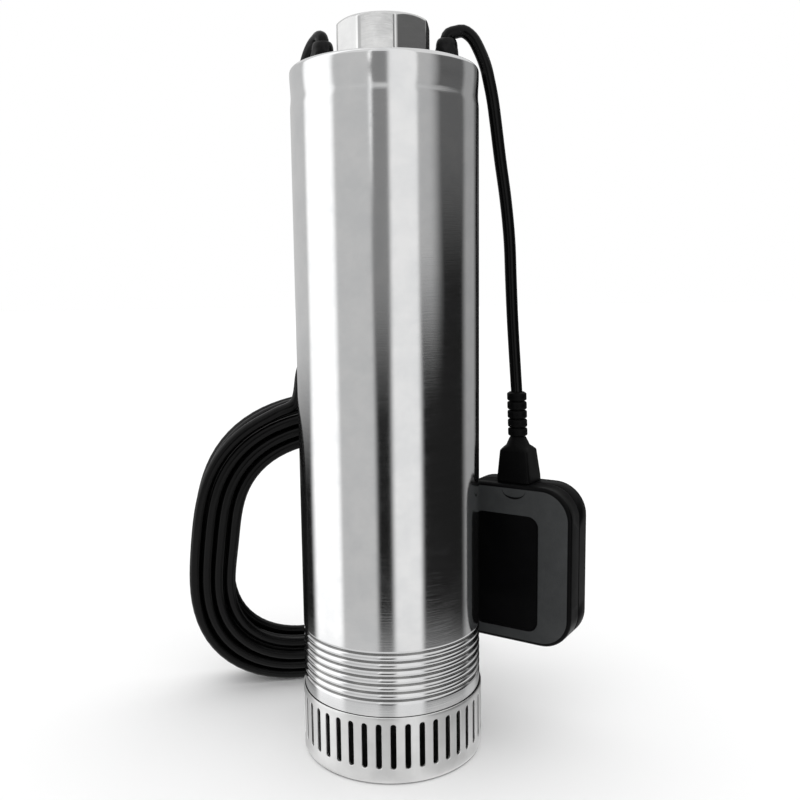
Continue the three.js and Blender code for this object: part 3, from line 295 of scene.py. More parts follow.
def mixColours(tree, share, first, second):
    # Each colour is a value or a socket.
    node = addNode(tree, "Mix", {0: share}, data_type="RGBA")
    for slot, colour in ((6, first), (7, second)):
        if isinstance(colour, bpy.types.NodeSocket):
            tree.links.new(colour, node.inputs[slot])
        else:
            node.inputs[slot].default_value = (*colour, 1)
    return node.outputs[2]


# Effects that several materials use

def makeBrushing():
    # Fine scratches that run round the Z axis, without a seam.
    tree, given, out = newGroup("brushing", {"Fineness": 1800.0, "Length": 5.0}, ["Streaks"])
    apart = addNode(tree, "SeparateXYZ", {0: objectPlace(tree)}).outputs
    flat = addNode(tree, "CombineXYZ", {"X": apart["X"], "Y": apart["Y"]}).outputs[0]
    around = addNode(tree, "VectorMath", {0: flat}, operation="NORMALIZE").outputs["Vector"]
    reach = addNode(tree, "VectorMath", {0: flat}, operation="LENGTH").outputs["Value"]
    spun = addNode(tree, "VectorMath", {0: around, "Scale": given["Length"]}, operation="SCALE")
    bits = addNode(tree, "SeparateXYZ", {0: spun.outputs["Vector"]}).outputs
    rise = mathNode(tree, "MULTIPLY", mathNode(tree, "ADD", apart["Z"], reach), given["Fineness"])
    drawn = addNode(tree, "CombineXYZ", {"X": bits["X"], "Y": bits["Y"], "Z": rise}).outputs[0]
    tree.links.new(noiseNode(tree, drawn, 1.0, 4.0, 0.7), out["Streaks"])
    return tree


def makeMottle():
    # Slow and fine changes of tone over a surface.
    tree, given, out = newGroup("mottle", {"Size": 60.0, "FineTimes": 22.0}, ["Slow", "Fine"])
    place = objectPlace(tree)
    tree.links.new(noiseNode(tree, place, given["Size"], 4.0), out["Slow"])
    fine = mathNode(tree, "MULTIPLY", given["Size"], given["FineTimes"])
    tree.links.new(noiseNode(tree, place, fine, 3.0, 0.6), out["Fine"])
    return tree


def makeEdgeWearHollowShade():
    # A broken mask along outer edges, for wear, and one in the hollows, for painted shade.
    tree, given, out = newGroup("edgeWear", {"Reach": 0.06, "Breakup": 220.0}, ["Edges", "Hollows"])
    point = addNode(tree, "NewGeometry").outputs["Pointiness"]
    broken = spread(tree, noiseNode(tree, objectPlace(tree), given["Breakup"]), 0.35, 0.65)
    high = mathNode(tree, "ADD", given["Reach"], 0.5)
    low = mathNode(tree, "SUBTRACT", 0.5, given["Reach"])
    edges = mathNode(tree, "MULTIPLY", spread(tree, point, 0.51, high), broken, clamp=True)
    tree.links.new(edges, out["Edges"])
    tree.links.new(spread(tree, point, 0.49, low), out["Hollows"])
    return tree


def makeDust():
    # Settles in grains on what faces up.
    tree, given, out = newGroup("dust", {"Amount": 0.3, "Grain": 900.0}, ["Mask"])
    normal = addNode(tree, "NewGeometry").outputs["Normal"]
    up = addNode(tree, "SeparateXYZ", {0: normal}).outputs["Z"]
    grains = spread(tree, noiseNode(tree, objectPlace(tree), given["Grain"], 5.0, 0.7), 0.45, 0.7)
    settled = mathNode(tree, "MULTIPLY", spread(tree, up, 0.2, 1.0), grains)
    tree.links.new(mathNode(tree, "MULTIPLY", settled, given["Amount"]), out["Mask"])
    return tree


def makeMouldSkin():
    # The fine sparked skin of moulded plastic, and the softer one of rubber.
    tree, given, out = newGroup("mouldSkin", {"Size": 1800.0, "Grit": 2600.0}, ["Height"])
    place = objectPlace(tree)
    cells = addNode(tree, "TexVoronoi", {"Vector": place, "Scale": given["Size"]}).outputs["Distance"]
    tree.links.new(mathNode(tree, "ADD", cells, noiseNode(tree, place, given["Grit"])), out["Height"])
    return tree


def makeLayers():
    # Thin sheets stacked along Z, as in a motor's core, or windings along it.
    tree, given, out = newGroup("layers", {"Pitch": 0.0005}, ["Height"])
    rise = addNode(tree, "SeparateXYZ", {0: objectPlace(tree)}).outputs["Z"]
    sheets = mathNode(tree, "PINGPONG", mathNode(tree, "DIVIDE", rise, given["Pitch"]), 0.5)
    tree.links.new(sheets, out["Height"])
    return tree


effects = {
    "brushing": makeBrushing(), "mottle": makeMottle(), "edgeWear": makeEdgeWearHollowShade(),
    "dust": makeDust(), "mouldSkin": makeMouldSkin(), "layers": makeLayers(),
}


def effect(tree, name, **values):
    node = tree.nodes.new("ShaderNodeGroup")
    node.node_tree = effects[name]
    for key, value in values.items():
        node.inputs[key].default_value = value
    return node.outputs


# What a finish's bump follows: effect, output, the effect's own values, depth in metres

def brushed(fineness, length, depth):
    return "brushing", "Streaks", {"Fineness": fineness, "Length": length}, depth


def mottled(size, depth):
    return "mottle", "Fine", {"Size": size}, depth


def moulded(size, depth):
    return "mouldSkin", "Height", {"Size": size}, depth


def layered(pitch, depth):
    return "layers", "Height", {"Pitch": pitch}, depth


# What each finish looks like. colour and shade are its lighter and darker patches, rough its smoothest
# and roughest. dust lies on what faces up, the wear value marks worn edges and darkens hollows as
# painted shade, and specular is the shine of what isn't metal.
finishes = {
    "polishedSteel": dict(colour=(0.8, 0.8, 0.8), shade=(0.745, 0.75, 0.755), metallic=1,
                          rough=(0.07, 0.11), relief=brushed(1400, 3, 1.6e-5), wear=0.1),
    "satinSteel": dict(colour=(0.86, 0.86, 0.855), shade=(0.78, 0.78, 0.775), metallic=1, rough=(0.3, 0.4),
                       relief=brushed(1300, 5, 8e-6), dust=0.04, wear=0.1),
    # dark steel for the bottoms of the rib grooves: painted shade
    "grooveSteel": dict(colour=(0.3, 0.3, 0.295), shade=(0.2, 0.2, 0.2), metallic=1, rough=(0.2, 0.3),
                        relief=brushed(1400, 3, 8e-6), wear=0.1),
    # near-black steel for the strainer's inside: painted shade
    "shadedSteel": dict(colour=(0.05, 0.05, 0.05), shade=(0.03, 0.03, 0.03), metallic=1, rough=(0.55, 0.7),
                        relief=mottled(90, 1e-5), wear=0.0),
    "turnedHead": dict(colour=(0.76, 0.76, 0.755), shade=(0.7, 0.7, 0.7), metallic=1, rough=(0.1, 0.17),
                       relief=brushed(1500, 3, 8e-6), dust=0.04),
    "machinedSteel": dict(colour=(0.55, 0.56, 0.57), shade=(0.42, 0.43, 0.44), metallic=1,
                          rough=(0.25, 0.4), relief=brushed(2200, 3, 6e-6)),
    "brightSteel": dict(colour=(0.78, 0.78, 0.78), shade=(0.7, 0.7, 0.71), metallic=1, rough=(0.1, 0.2),
                        relief=brushed(3000, 3, 2e-6)),
    "castIron": dict(colour=(0.12, 0.125, 0.13), shade=(0.07, 0.072, 0.075), metallic=0.8, rough=(0.5, 0.7),
                     relief=mottled(90, 5e-5), dust=0.1),
    "aluminium": dict(colour=(0.62, 0.63, 0.64), shade=(0.5, 0.51, 0.52), metallic=1, rough=(0.35, 0.5),
                      relief=mottled(110, 2e-5)),
    "laminations": dict(colour=(0.3, 0.31, 0.32), shade=(0.2, 0.205, 0.21), metallic=0.9, rough=(0.4, 0.55),
                        relief=layered(0.0007, 6e-5)),
    "copper": dict(colour=(0.63, 0.24, 0.10), shade=(0.42, 0.13, 0.05), metallic=0.9, rough=(0.3, 0.45),
                   relief=layered(0.0012, 2e-4)),
    "cordRubber": dict(colour=(0.0016, 0.0016, 0.0017), shade=(0.001, 0.001, 0.0011), rough=(0.16, 0.24),
                       relief=moulded(1500, 3e-6), specular=0.16),
    "blackRubber": dict(colour=(0.003, 0.003, 0.0032), shade=(0.002, 0.002, 0.0022), rough=(0.42, 0.56),
                        relief=moulded(1300, 8e-6), dust=0.02, specular=0.12),
    "glandPlastic": dict(colour=(0.003, 0.003, 0.0032), shade=(0.002, 0.002, 0.0022), rough=(0.24, 0.34),
                         relief=moulded(1700, 5e-6), dust=0.02, specular=0.2),
    "bootPlastic": dict(colour=(0.002, 0.002, 0.0021), shade=(0.0014, 0.0014, 0.0015), rough=(0.34, 0.46),
                        relief=moulded(1700, 5e-6), dust=0.01, specular=0.06),
    "frameGrain": dict(colour=(0.040, 0.042, 0.043), shade=(0.032, 0.034, 0.035), rough=(0.5, 0.62),
                       relief=moulded(1500, 4.5e-5), dust=0.02, specular=0.3),
    # the float's grey plastic made near-black for its sides and sunk panel: painted shade
    "smoothShell": dict(colour=(0.0022, 0.0022, 0.0024), shade=(0.0014, 0.0014, 0.0016), rough=(0.3, 0.4),
                        relief=moulded(1900, 3e-6), dust=0.01, specular=0.06),
    "greyPlastic": dict(colour=(0.05, 0.052, 0.054), shade=(0.04, 0.041, 0.043), rough=(0.4, 0.5),
                        relief=moulded(1500, 1e-5), specular=0.4),
    "paleResin": dict(colour=(0.58, 0.54, 0.43), shade=(0.5, 0.46, 0.36), rough=(0.4, 0.55),
                      relief=mottled(120, 1e-5), specular=0.45),
    "carbonFace": dict(colour=(0.018, 0.018, 0.019), shade=(0.012, 0.012, 0.013), metallic=0.1,
                       rough=(0.3, 0.45), relief=mottled(150, 4e-6)),
    "platedPin": dict(colour=(0.74, 0.72, 0.68), shade=(0.64, 0.62, 0.57), metallic=1, rough=(0.14, 0.24),
                      relief=mottled(120, 2e-6)),
}
dustLayer = {"colour": (0.5, 0.48, 0.45), "rougher": 0.4}


def makeFinish(name, look):
    material = bpy.data.materials.new(name)
    material.use_nodes = True
    tree = material.node_tree
    shader = tree.nodes["Principled BSDF"]
    shader.inputs["Metallic"].default_value = look.get("metallic", 0)
    shader.inputs["Specular IOR Level"].default_value = look.get("specular", 0.5)
    tone = effect(tree, "mottle", Size=60.0)["Slow"]
    colour = mixColours(tree, spread(tree, tone, 0.35, 0.65), look["colour"], look["shade"])
    # worn edges are a little lighter, and hollows are darker as painted shade
    masks = effect(tree, "edgeWear")
    worn = [min(1, v * 1.25 + 0.004) for v in look["colour"]]
    hollowShade = [v * 0.5 for v in look["shade"]]
    for mask, tint in (("Edges", worn), ("Hollows", hollowShade)):
        share = mathNode(tree, "MULTIPLY", masks[mask], look.get("wear", 0.3))
        colour = mixColours(tree, share, colour, tint)
    smoothest, roughest = look["rough"]
    rough = spread(tree, tone, 0.3, 0.7, smoothest, roughest)
    if "dust" in look:
        dust = effect(tree, "dust", Amount=look["dust"])["Mask"]
        colour = mixColours(tree, dust, colour, dustLayer["colour"])
        rougher = mathNode(tree, "MULTIPLY", dust, dustLayer["rougher"])
        rough = mathNode(tree, "ADD", rough, rougher, clamp=True)
    tree.links.new(colour, shader.inputs["Base Color"])
    kind, output, values, depth = look["relief"]
    relief = effect(tree, kind, **values)[output]
    if kind == "brushing":
        rough = mathNode(tree, "ADD", rough, spread(tree, relief, 0.3, 0.7, -0.03, 0.05))
    tree.links.new(rough, shader.inputs["Roughness"])
    bump = addNode(tree, "Bump", {"Strength": 1.0, "Distance": depth, "Height": relief})
    tree.links.new(bump.outputs["Normal"], shader.inputs["Normal"])
    return material


skins = {name: makeFinish(name, look) for name, look in finishes.items()}
print("finishes made:", len(skins))


# Power cable: out of its gland, down behind the casing, into the coil that leans on it

cord = {
    "radius": 4.3, "lean": 11, "yaw": 10, "centreX": -42, "meanRadius": 105.9, "pitch": 9.7,
    "layerPitch": 9.2, "layers": 4, "startTurn": 118, "endTurn": 258, "wholeTurns": 13,
    "square": 0.048, "oval": 0.09, "ovalTurn": 245, "egg": 0.086, "eggTurn": 171,
    "wallGap": 0.3, "floorGap": 0.2, "stepsPerTurn": 96,
    # out of the gland: x, y and z from its top
    "start": [(0, 0, -9), (0, 0, 1.4), (-0.9, 1.8, 3.8), (-2.7, 5.2, 4.9)],
    # degrees round the casing, out from its wall, height over its top
    "drop": [(158.5, -14.3, 26), (153.3, -7.7, 23.6), (148.9, 0, 16.5), (146.4, 5.7, 5), (145, 8.4, -13),
             (144.5, 8.8, -45), (144.1, 8.3, -95), (143.9, 8.3, -145), (143.4, 10, -175), (142.6, 14, -195),
             (142.8, 19.2, -208.5)],
    "lead": 8.6, "leadIn": 16, "tailReach": 50, "tailBack": 16.7, "tailSteps": 24, "tailEnd": 8.6,
    "handle": 0.4, "plugHeight": 18.2,
}
turnsInCoil = cord["wholeTurns"] + (cord["endTurn"] - cord["startTurn"]) / 360
turnsInLayer = turnsInCoil / cord["layers"]
halfBand = turnsInLayer * cord["pitch"] / 2
lean, yaw = radians(cord["lean"]), radians(cord["yaw"])
sideways = Vector((cos(yaw), sin(yaw), 0))
backward = Vector((-sin(yaw), cos(yaw), 0))
upward = Vector((-backward.x * sin(lean), -backward.y * sin(lean), cos(lean)))
through = Vector((backward.x * cos(lean), backward.y * cos(lean), sin(lean)))


def bandMiddle(angle):
    # The loops are a little square, drawn out one way and fuller on one side.
    square = cord["square"] * cos(4 * angle - pi)
    oval = cord["oval"] * cos(2 * (angle - radians(cord["ovalTurn"])))
    egg = cord["egg"] * cos(angle - radians(cord["eggTurn"]))
    return cord["meanRadius"] * (1 + square + oval + egg)


halfDepth = (cord["layers"] - 1) / 2 * cord["layerPitch"]


def coilPlace(turns):
    # Angle, distance from the middle and depth after so many turns.
    layer = turns / turnsInLayer
    into = int(min(layer, cord["layers"] - 1e-9))
    along = layer - into if into % 2 == 0 else 1 - (layer - into)
    level = into
    ease = 0.25 / turnsInLayer  # a quarter turn either side of a change of layer
    change = round(layer)
    if 0 < change < cord["layers"] and abs(layer - change) < ease:
        share = (layer - change + ease) / (2 * ease)
        level = change - 1 + share * share * (3 - 2 * share)
    angle = radians(cord["startTurn"]) + 2 * pi * turns
    reach = bandMiddle(angle) + halfBand * (1 - 2 * along)
    return angle, reach, level * cord["layerPitch"] - halfDepth


topReach = (bandMiddle(pi / 2) + halfBand) * sin(lean)
setback = pump["casingRadius"] + cord["wallGap"] + topReach + halfDepth * cos(lean) + cord["radius"]
coilCentre = Vector((cord["centreX"], (setback - backward.x * cord["centreX"]) / backward.y, 0))


def coilPoint(turns):
    angle, reach, depth = coilPlace(turns)
    return coilCentre + sideways * reach * cos(angle) + upward * reach * sin(angle) + through * depth


coilSteps = round(turnsInCoil * cord["stepsPerTurn"])
coilPath = [coilPoint(turnsInCoil * k / coilSteps) for k in range(coilSteps + 1)]
lift = Vector((0, 0, cord["radius"] + cord["floorGap"] - min(p.z for p in coilPath)))
coilCentre += lift
coilPath = [p + lift for p in coilPath]
coilWay = (coilPath[1] - coilPath[0]).normalized()

px, py = pump["powerGland"]
nutTop = pump["nutTop"]
riserPoints = [Vector((px + x, py + y, nutTop + z)) for x, y, z in cord["start"]]
riserPoints += [beside(turn, out, pump["casingTop"] + rise) for turn, out, rise in cord["drop"]]
riserPoints += [coilPath[0] - coilWay * back for back in (cord["lead"] + cord["leadIn"], cord["lead"], 0)]


def alongFloor(start, reach, back=0):
    # That far along the coil's width and behind it, at the plug's height.
    place = start + sideways * reach + backward * back
    return Vector((place.x, place.y, cord["plugHeight"]))


plugFace = alongFloor(coilPath[-1], cord["tailReach"], cord["tailBack"])
tailWay = (coilPath[-1] - coilPath[-2]).normalized()
handle = cord["tailReach"] * cord["handle"]
tailCorners = [coilPath[-1], coilPath[-1] + tailWay * handle, alongFloor(plugFace, -handle), plugFace]
tail = []
for k in range(1, cord["tailSteps"] + 1):
    t = k / cord["tailSteps"]
    weights = ((1 - t) ** 3, 3 * t * (1 - t) ** 2, 3 * t * t * (1 - t), t ** 3)
    tail.append(sum((corner * w for corner, w in zip(tailCorners, weights)), Vector()))
tailEnd = alongFloor(plugFace, cord["tailEnd"])
powerPath = smoothPath(riserPoints)[:-1] + coilPath + tail + [tailEnd]
powerCable = cordCurve("power_cord", powerPath, cord["radius"], skins["cordRubber"])
settle(powerCable, "pump", "black_rubber", "power_cable_riser", "power_cable_coil")
print("power cable: %.2f m" % (pathLength(powerPath) * mm))


# Tapered relief where the cable enters the plug, laid behind the coil's foot

cone = {"start": 8.9, "bore": 4.4, "thin": 5.3, "thick": 7.5, "length": 38, "rings": 7, "firstRing": 3,
        "lastGap": 8, "ringDepth": 0.9, "ringSlope": 0.35, "ringWidth": 1.6, "head": 5, "edge": 0.4,
        "sides": 40}
plugPlace = Matrix.Translation(alongFloor(plugFace, cone["start"])) @ Matrix.Rotation(yaw, 4, "Z")


def alongX(rings, place=Matrix.Identity(4)):
    # Lays rings that were turned about Z along X, in the plug's place.
    return [[plugPlace @ place @ Vector((z, x, y)) for x, y, z in ring] for ring in rings]


tip, thick = cone["length"], cone["thick"]
slope, across = cone["ringSlope"], cone["ringWidth"]
reliefProfile = [(cone["bore"], 0), (cone["thin"], cone["edge"])]
for k in range(cone["rings"]):
    start = cone["firstRing"] + k * (tip - cone["lastGap"]) / cone["rings"]
    taper = cone["thin"] + (thick - cone["thin"]) * start / tip
    sunk = taper - cone["ringDepth"]
    end = start + across
    reliefProfile += [(taper, start), (sunk, start + slope), (sunk, end - slope), (taper, end)]
reliefProfile += [(thick, tip - cone["head"]), (thick, tip - cone["edge"]), (cone["bore"], tip)]
reliefRings = alongX(ringsOf(reliefProfile, cone["sides"]))
relief = skin("plug_relief", reliefRings, skins["blackRubber"], "joined")
settle(relief, "pump", "black_rubber", "plug_strain_relief")


# Plug: a neck, a shoulder and a waist with finger grips

plugSizes = {
    # radius, distance from the relief's start, fillet
    "profile": [(0.01, 38.3), (9, 38.3, 0.8), (10.5, 44.3, 1.5), (18, 53.3, 3), (18, 76.3, 1.2),
                (0.01, 76.3)],
    "pinProfile": [(0.01, 75.6), (2.4, 75.6), (2.4, 95.3, 1.2), (0.01, 95.3)],
    "pinSpacing": 19, "pinSides": 24, "gripRadius": 18, "gripCount": 18, "gripDepth": 0.7, "gripStart": 56,
    "gripEnd": 71.5, "gripRows": 12, "sides": 144,
}


def gripReach(angle):
    wave = 0.5 - 0.5 * cos(plugSizes["gripCount"] * angle)
    return plugSizes["gripRadius"] - plugSizes["gripDepth"] * wave ** 2


plugProfile = softProfile(plugSizes["profile"])
gripStart, gripEnd = plugSizes["gripStart"], plugSizes["gripEnd"]
gripRows = [(gripReach, gripStart + (gripEnd - gripStart) * k / plugSizes["gripRows"])
            for k in range(plugSizes["gripRows"] + 1)]
plugRows = [row for row in plugProfile if row[1] < gripStart] + gripRows
plugRows += [row for row in plugProfile if row[1] > gripEnd]
plug = skin("power_plug_body", alongX(ringsOf(plugRows, plugSizes["sides"])), skins["glandPlastic"])
settle(plug, "pump", "black_plastic", "power_plug")

pinRings = ringsOf(softProfile(plugSizes["pinProfile"]), plugSizes["pinSides"])
for name, side in (("plug_pin_left", -1), ("plug_pin_right", 1)):
    shift = Matrix.Translation((0, side * plugSizes["pinSpacing"] / 2, 0))
    settle(skin(name, alongX(pinRings, shift), skins["platedPin"]), "pump", "black_plastic")


# Strap round the coil's band

tie = {"turn": 358, "width": 14, "thickness": 1.4, "slack": 2, "depthSlack": 0.3, "corner": 5,
       "edge": 0.25, "bevel": 0.3}
tieAngle = radians(tie["turn"])
firstPass = (tie["turn"] - cord["startTurn"]) % 360 / 360
passes = [coilPlace(firstPass + k) for k in range(int(turnsInCoil - firstPass) + 1)]
reaches, depths = [p[1] for p in passes], [p[2] for p in passes]
tieBand = max(reaches) - min(reaches) + 2 * (cord["radius"] + tie["slack"])
tieDepth = max(depths) - min(depths) + 2 * (cord["radius"] + tie["depthSlack"])
radial = sideways * cos(tieAngle) + upward * sin(tieAngle)
around = upward * cos(tieAngle) - sideways * sin(tieAngle)
tieMiddle = coilCentre + (radial * (min(reaches) + max(reaches)) + through * (min(depths) + max(depths))) / 2
thick, half, edge, bevel = tie["thickness"], tie["width"] / 2, tie["edge"], tie["bevel"]
tieLoops = []
for grow, off in ((edge, -half), (thick - edge, -half), (thick, bevel - half), (thick, half - bevel),
                  (thick - edge, half), (edge, half), (0, half - bevel), (0, bevel - half)):
    loop = roundedLoop(tieBand + 2 * grow, tieDepth + 2 * grow, tie["corner"] + grow, 8, 8)
    tieLoops.append([tieMiddle + radial * p.x + through * p.y + around * off for p in loop])
strap = skin("coil_strap", tieLoops, skins["blackRubber"], "joined")
settle(strap, "pump", "black_rubber", "coil_tie")
print("plug and strap laid")


# Float cable: a mesh tube from its gland down to the float's boot

floatCord = {
    "radius": 4.3, "sides": 20, "sampleGap": 2.5, "bearing": 20.1, "out": 38.6, "end": 254.3,
    # as for the power cable
    "start": [(0, 0, -6), (0, 0, 0.4), (1.6, 0.1, 3.2), (6, 0.3, 4.6)],
    "drop": [(4.6, -9.8, 27), (4.3, -3.6, 22.8), (4.4, 1.9, 13.5), (4.6, 5.8, 4), (5, 8.1, -4.7),
             (6, 11.1, -17.7), (7.2, 13.4, -30.7), (10, 18.1, -57.2), (12.4, 23.4, -84.4),
             (14.7, 27.8, -112.2), (16.9, 30.7, -140.8), (18.8, 33.7, -170.1), (20, 36.8, -200.1)],
    "bendFrom": (50, 4.1, 504), "bendTo": (74.7, 7.8, 460.3),
}
fx, fy = pump["floatGland"]
floatPoints = [Vector((fx + x, fy + y, nutTop + z)) for x, y, z in floatCord["start"]]
floatPoints += [beside(turn, out, pump["casingTop"] + rise) for turn, out, rise in floatCord["drop"]]
floatPoints.append(beside(floatCord["bearing"], floatCord["out"], floatCord["end"]))
floatPath = smoothPath(floatPoints, floatCord["sampleGap"])
floatRings = tubeRings(floatPath, floatCord["radius"], floatCord["sides"])
floatCable = skin("float_cord", floatRings, skins["cordRubber"], sharp=60)
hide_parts("float_cable_arch", "float_cable_drop")
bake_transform(floatCable)
print("float cable: %.3f m" % (pathLength(floatPath) * mm))


# Casing: a tube with rolled ribs, a shallow band and a turned-in rim

casing = {"ribs": 7, "ribPitch": 5.35, "firstRib": 59, "ribDepth": 1.1, "ribSteps": 20, "darkSteps": (7, 12),
          "bandHeight": 459.2, "bandBelow": 8, "bandAbove": 14, "bandDepth": 0.55, "bandSteps": 10,
          "rimRadius": 3, "rimSteps": 8, "rimLip": 5.5, "lipBevel": 0.5, "footBevel": (0.15, 0.2),
          "footFlat": 52, "sides": 192}
outer, bore = pump["casingRadius"], pump["casingRadius"] - pump["casingWall"]
foot, top = pump["casingBottom"], pump["casingTop"]
bevelIn, bevelUp = casing["footBevel"]
profile = [(bore, foot), (outer - bevelIn, foot), (outer, foot + bevelUp), (outer, casing["footFlat"])]
ribStart = casing["firstRib"] - casing["ribPitch"] / 2
darkFrom, darkTo = casing["darkSteps"]
shadedGrooveRows = set()
for k in range(casing["ribs"] * casing["ribSteps"] + 1):
    # beads with a rolled groove between each two, and a dark steel down in the groove as painted shade
    if darkFrom <= k % casing["ribSteps"] <= darkTo:
        shadedGrooveRows.add(len(profile))
    share = k / casing["ribSteps"]
    sunk = (0.5 - 0.5 * cos(2 * pi * share)) ** 1.5
    profile.append((outer - casing["ribDepth"] * sunk, ribStart + casing["ribPitch"] * share))
for k in range(2 * casing["bandSteps"] + 1):
    # the band falls in slowly from above and comes out faster below
    share = k / casing["bandSteps"] - 1
    dip = casing["bandDepth"] * cos(share * pi / 2) ** 2
    ramp = casing["bandBelow"] if share < 0 else casing["bandAbove"]
    profile.append((outer - dip, casing["bandHeight"] + share * ramp))
rim = casing["rimRadius"]
for k in range(casing["rimSteps"] + 1):
    x, y = onCircle(90 * k / casing["rimSteps"]) * rim
    profile.append((outer - rim + x, top - rim + y))
lip, lipFoot, bevel = outer - casing["rimLip"], top - pump["casingWall"], casing["lipBevel"]
profile += [(lip + bevel, top), (lip, top - bevel), (lip, lipFoot + bevel), (lip + bevel, lipFoot),
            (bore, lipFoot)]
casingRings = ringsOf(profile, casing["sides"])
casingTube = skin("casing", casingRings, [skins["polishedSteel"], skins["grooveSteel"]], "joined",
                  materialOf=lambda k: int(k // casing["sides"] in shadedGrooveRows))
settle(casingTube, "pump", "polished_steel", "casing_tube")
print("casing turned")


# Strainer: a cup pierced by a row of upright slots

cup = {"radius": 65.2, "wall": 2, "floor": 2.5, "edge": 3.5, "floorEdge": 2.5, "top": 47.9, "topEdge": 0.6,
       "collarTop": 56.5, "collarWall": 3, "slopeIn": 2, "slopeTop": 49.5,
       "slots": 41, "slotWidth": 3.9, "slotFoot": 11.3, "slotTop": 43.1, "chamfer": 0.35,
       "arcSteps": 8, "sideSteps": 6, "rowFoot": 8.5, "rowTop": 45.6}


def slotRing(grow):
    # The slot's outline as (across, height), from its right side over the top.
    half = cup["slotWidth"] / 2 + grow
    low, high = cup["slotFoot"] + half - grow, cup["slotTop"] - half + grow
    arcSteps, sideSteps = cup["arcSteps"], cup["sideSteps"]
    arc = [onCircle(180 * k / arcSteps) * half for k in range(arcSteps + 1)]
    over = [(x, high + y) for x, y in arc]
    under = [(-x, low - y) for x, y in arc]
    left = [(-half, high + (low - high) * k / sideSteps) for k in range(1, sideSteps)]
    right = [(half, low + (high - low) * k / sideSteps) for k in range(1, sideSteps)]
    return over + left + under + right


def cellRing():
    # As many points round the slot's share of the wall.
    half = pi * cup["radius"] / cup["slots"]
    spans = cup["arcSteps"] - 2
    along = [half * (1 - 2 * k / spans) for k in range(spans + 1)]
    ring = slotRing(0)
    edge = [(copysign(half, across), height) for across, height in ring]
    for start, height, way in ((1, cup["rowTop"], 1), (1 + len(ring) // 2, cup["rowFoot"], -1)):
        edge[start:start + spans + 1] = [(way * across, height) for across in along]
    return edge


def wrapped(ring, radius, turn):
    places = [(turn + across / cup["radius"], height) for across, height in ring]
    return [(radius * cos(a), radius * sin(a), h) for a, h in places]


cupPoints, cupFaces = [], []


def addRings(rings):
    count = len(rings[0])
    base = len(cupPoints)
    for ring in rings:
        cupPoints.extend(ring)
    for k in range(len(rings) - 1):
        for i in range(count):
            a, b = base + k * count + i, base + k * count + (i + 1) % count
            cupFaces.append((a, b, b + count, a + count))


shell, inside = cup["radius"], cup["radius"] - cup["wall"]
chamfer = cup["chamfer"]
slotLayers = [(cellRing(), shell), (slotRing(chamfer), shell), (slotRing(0), shell - chamfer),
              (slotRing(0), inside + chamfer), (slotRing(chamfer), inside), (cellRing(), inside)]
for k in range(cup["slots"]):
    turn = radians(-90) + 2 * pi * k / cup["slots"]
    addRings([wrapped(ring, radius, turn) for ring, radius in slotLayers])
sidesRound = cup["slots"] * (cup["arcSteps"] - 2)
turnShift = radians(-90) + pi / cup["slots"]
inner = pump["insideRadius"]
under = softProfile([(0.01, 0), (shell, 0, cup["edge"]), (shell, cup["rowFoot"])], 8)
over = softProfile([
    (shell, cup["rowTop"]), (shell, cup["top"], cup["topEdge"]), (inner, cup["top"]),
    (inner, cup["collarTop"]), (inner - cup["collarWall"], cup["collarTop"]),
    (inner - cup["slopeIn"], cup["slopeTop"]), (inside, cup["rowTop"]),
])
floorTop = cup["floor"]
within = softProfile([(inside, cup["rowFoot"]), (inside, floorTop, cup["floorEdge"]), (0.01, floorTop)])
for part in (under, over, within):
    addRings(ringsOf(part, sidesRound, turnShift))


# faces on the inner wall, floor and collar take the near-black steel: painted shade
def innerFace(k):
    return int(min(hypot(*cupPoints[i][:2]) for i in cupFaces[k]) < inside + 0.1)


basket = newPiece("strainer", cupPoints, cupFaces, [skins["satinSteel"], skins["shadedSteel"]],
                  materialOf=innerFace)
settle(basket, "pump", "satin_steel", "strainer_basket")
print("strainer pierced:", len(basket.data.vertices), "points")


# Discharge head with its octagonal boss and threaded port

head = {
    "underside": 463.7, "skirtFoot": 451.7, "skirtWall": 4, "grooveUp": 4, "grooveWidth": 4,
    "grooveDepth": 2.6, "edge": 0.4, "deckRings": (54, 46, 38), "bossTop": 508.9, "bossFlats": 60,
    "bossTurn": -8.5, "bossCorner": 3.2, "bossFillet": 2.2,
    "bossRows": (482, 488, 494, 500, 503, 505, 505.8, 506.4, 506.9, 507.3, 507.7, 508.1, 508.4, 508.6,
                 508.75, 508.85),
    "faceRings": (28.6, 25, 21.9), "edgeRound": 1.7, "edgeRoundDrop": 0.6, "coneFrom": 0.4, "coneSlope": 1.42,
    "threadPitch": 2.309, "threadDepth": 1.35, "threadStart": 508.75, "threadEnd": 484, "threadFade": 3,
    "threadRows": 84, "portRadius": 19.5, "portLead": 2.2, "sides": 240,
}
headTop = pump["headTop"]
flatTurn = radians(90 + head["bossTurn"])


def bossReach(angle, grow=0.0):
    return polygonReach(angle, 8, head["bossFlats"] + 2 * grow, head["bossCorner"] + grow, flatTurn)


def softLeast(a, b, width=0.35):
    # The lesser of the two, with a rounded change from one to the other.
    least = min(a, b)
    return least - width * log(exp((least - a) / width) + exp((least - b) / width))


def turnedEdge(height):
    # The cone that a lathe cut round the boss's top.
    down = head["bossTop"] - height
    rounded = head["edgeRound"] * min(down, head["edgeRoundDrop"]) ** 0.5
    return head["faceRings"][0] + rounded + head["coneSlope"] * max(down - head["coneFrom"], 0)


def threadReach(angle, height):
    turns = height / head["threadPitch"] - angle / (2 * pi)
    wave = abs(turns % 1 * 2 - 1)
    cutDepth = head["threadDepth"] * min(1, max(0, wave * 1.5 - 0.25))  # flat crests and roots
    fade = min(1, max(0, (height - head["threadEnd"]) / head["threadFade"]))
    lead = head["portLead"] - (head["bossTop"] - height)
    return head["portRadius"] + max(cutDepth * fade, lead)


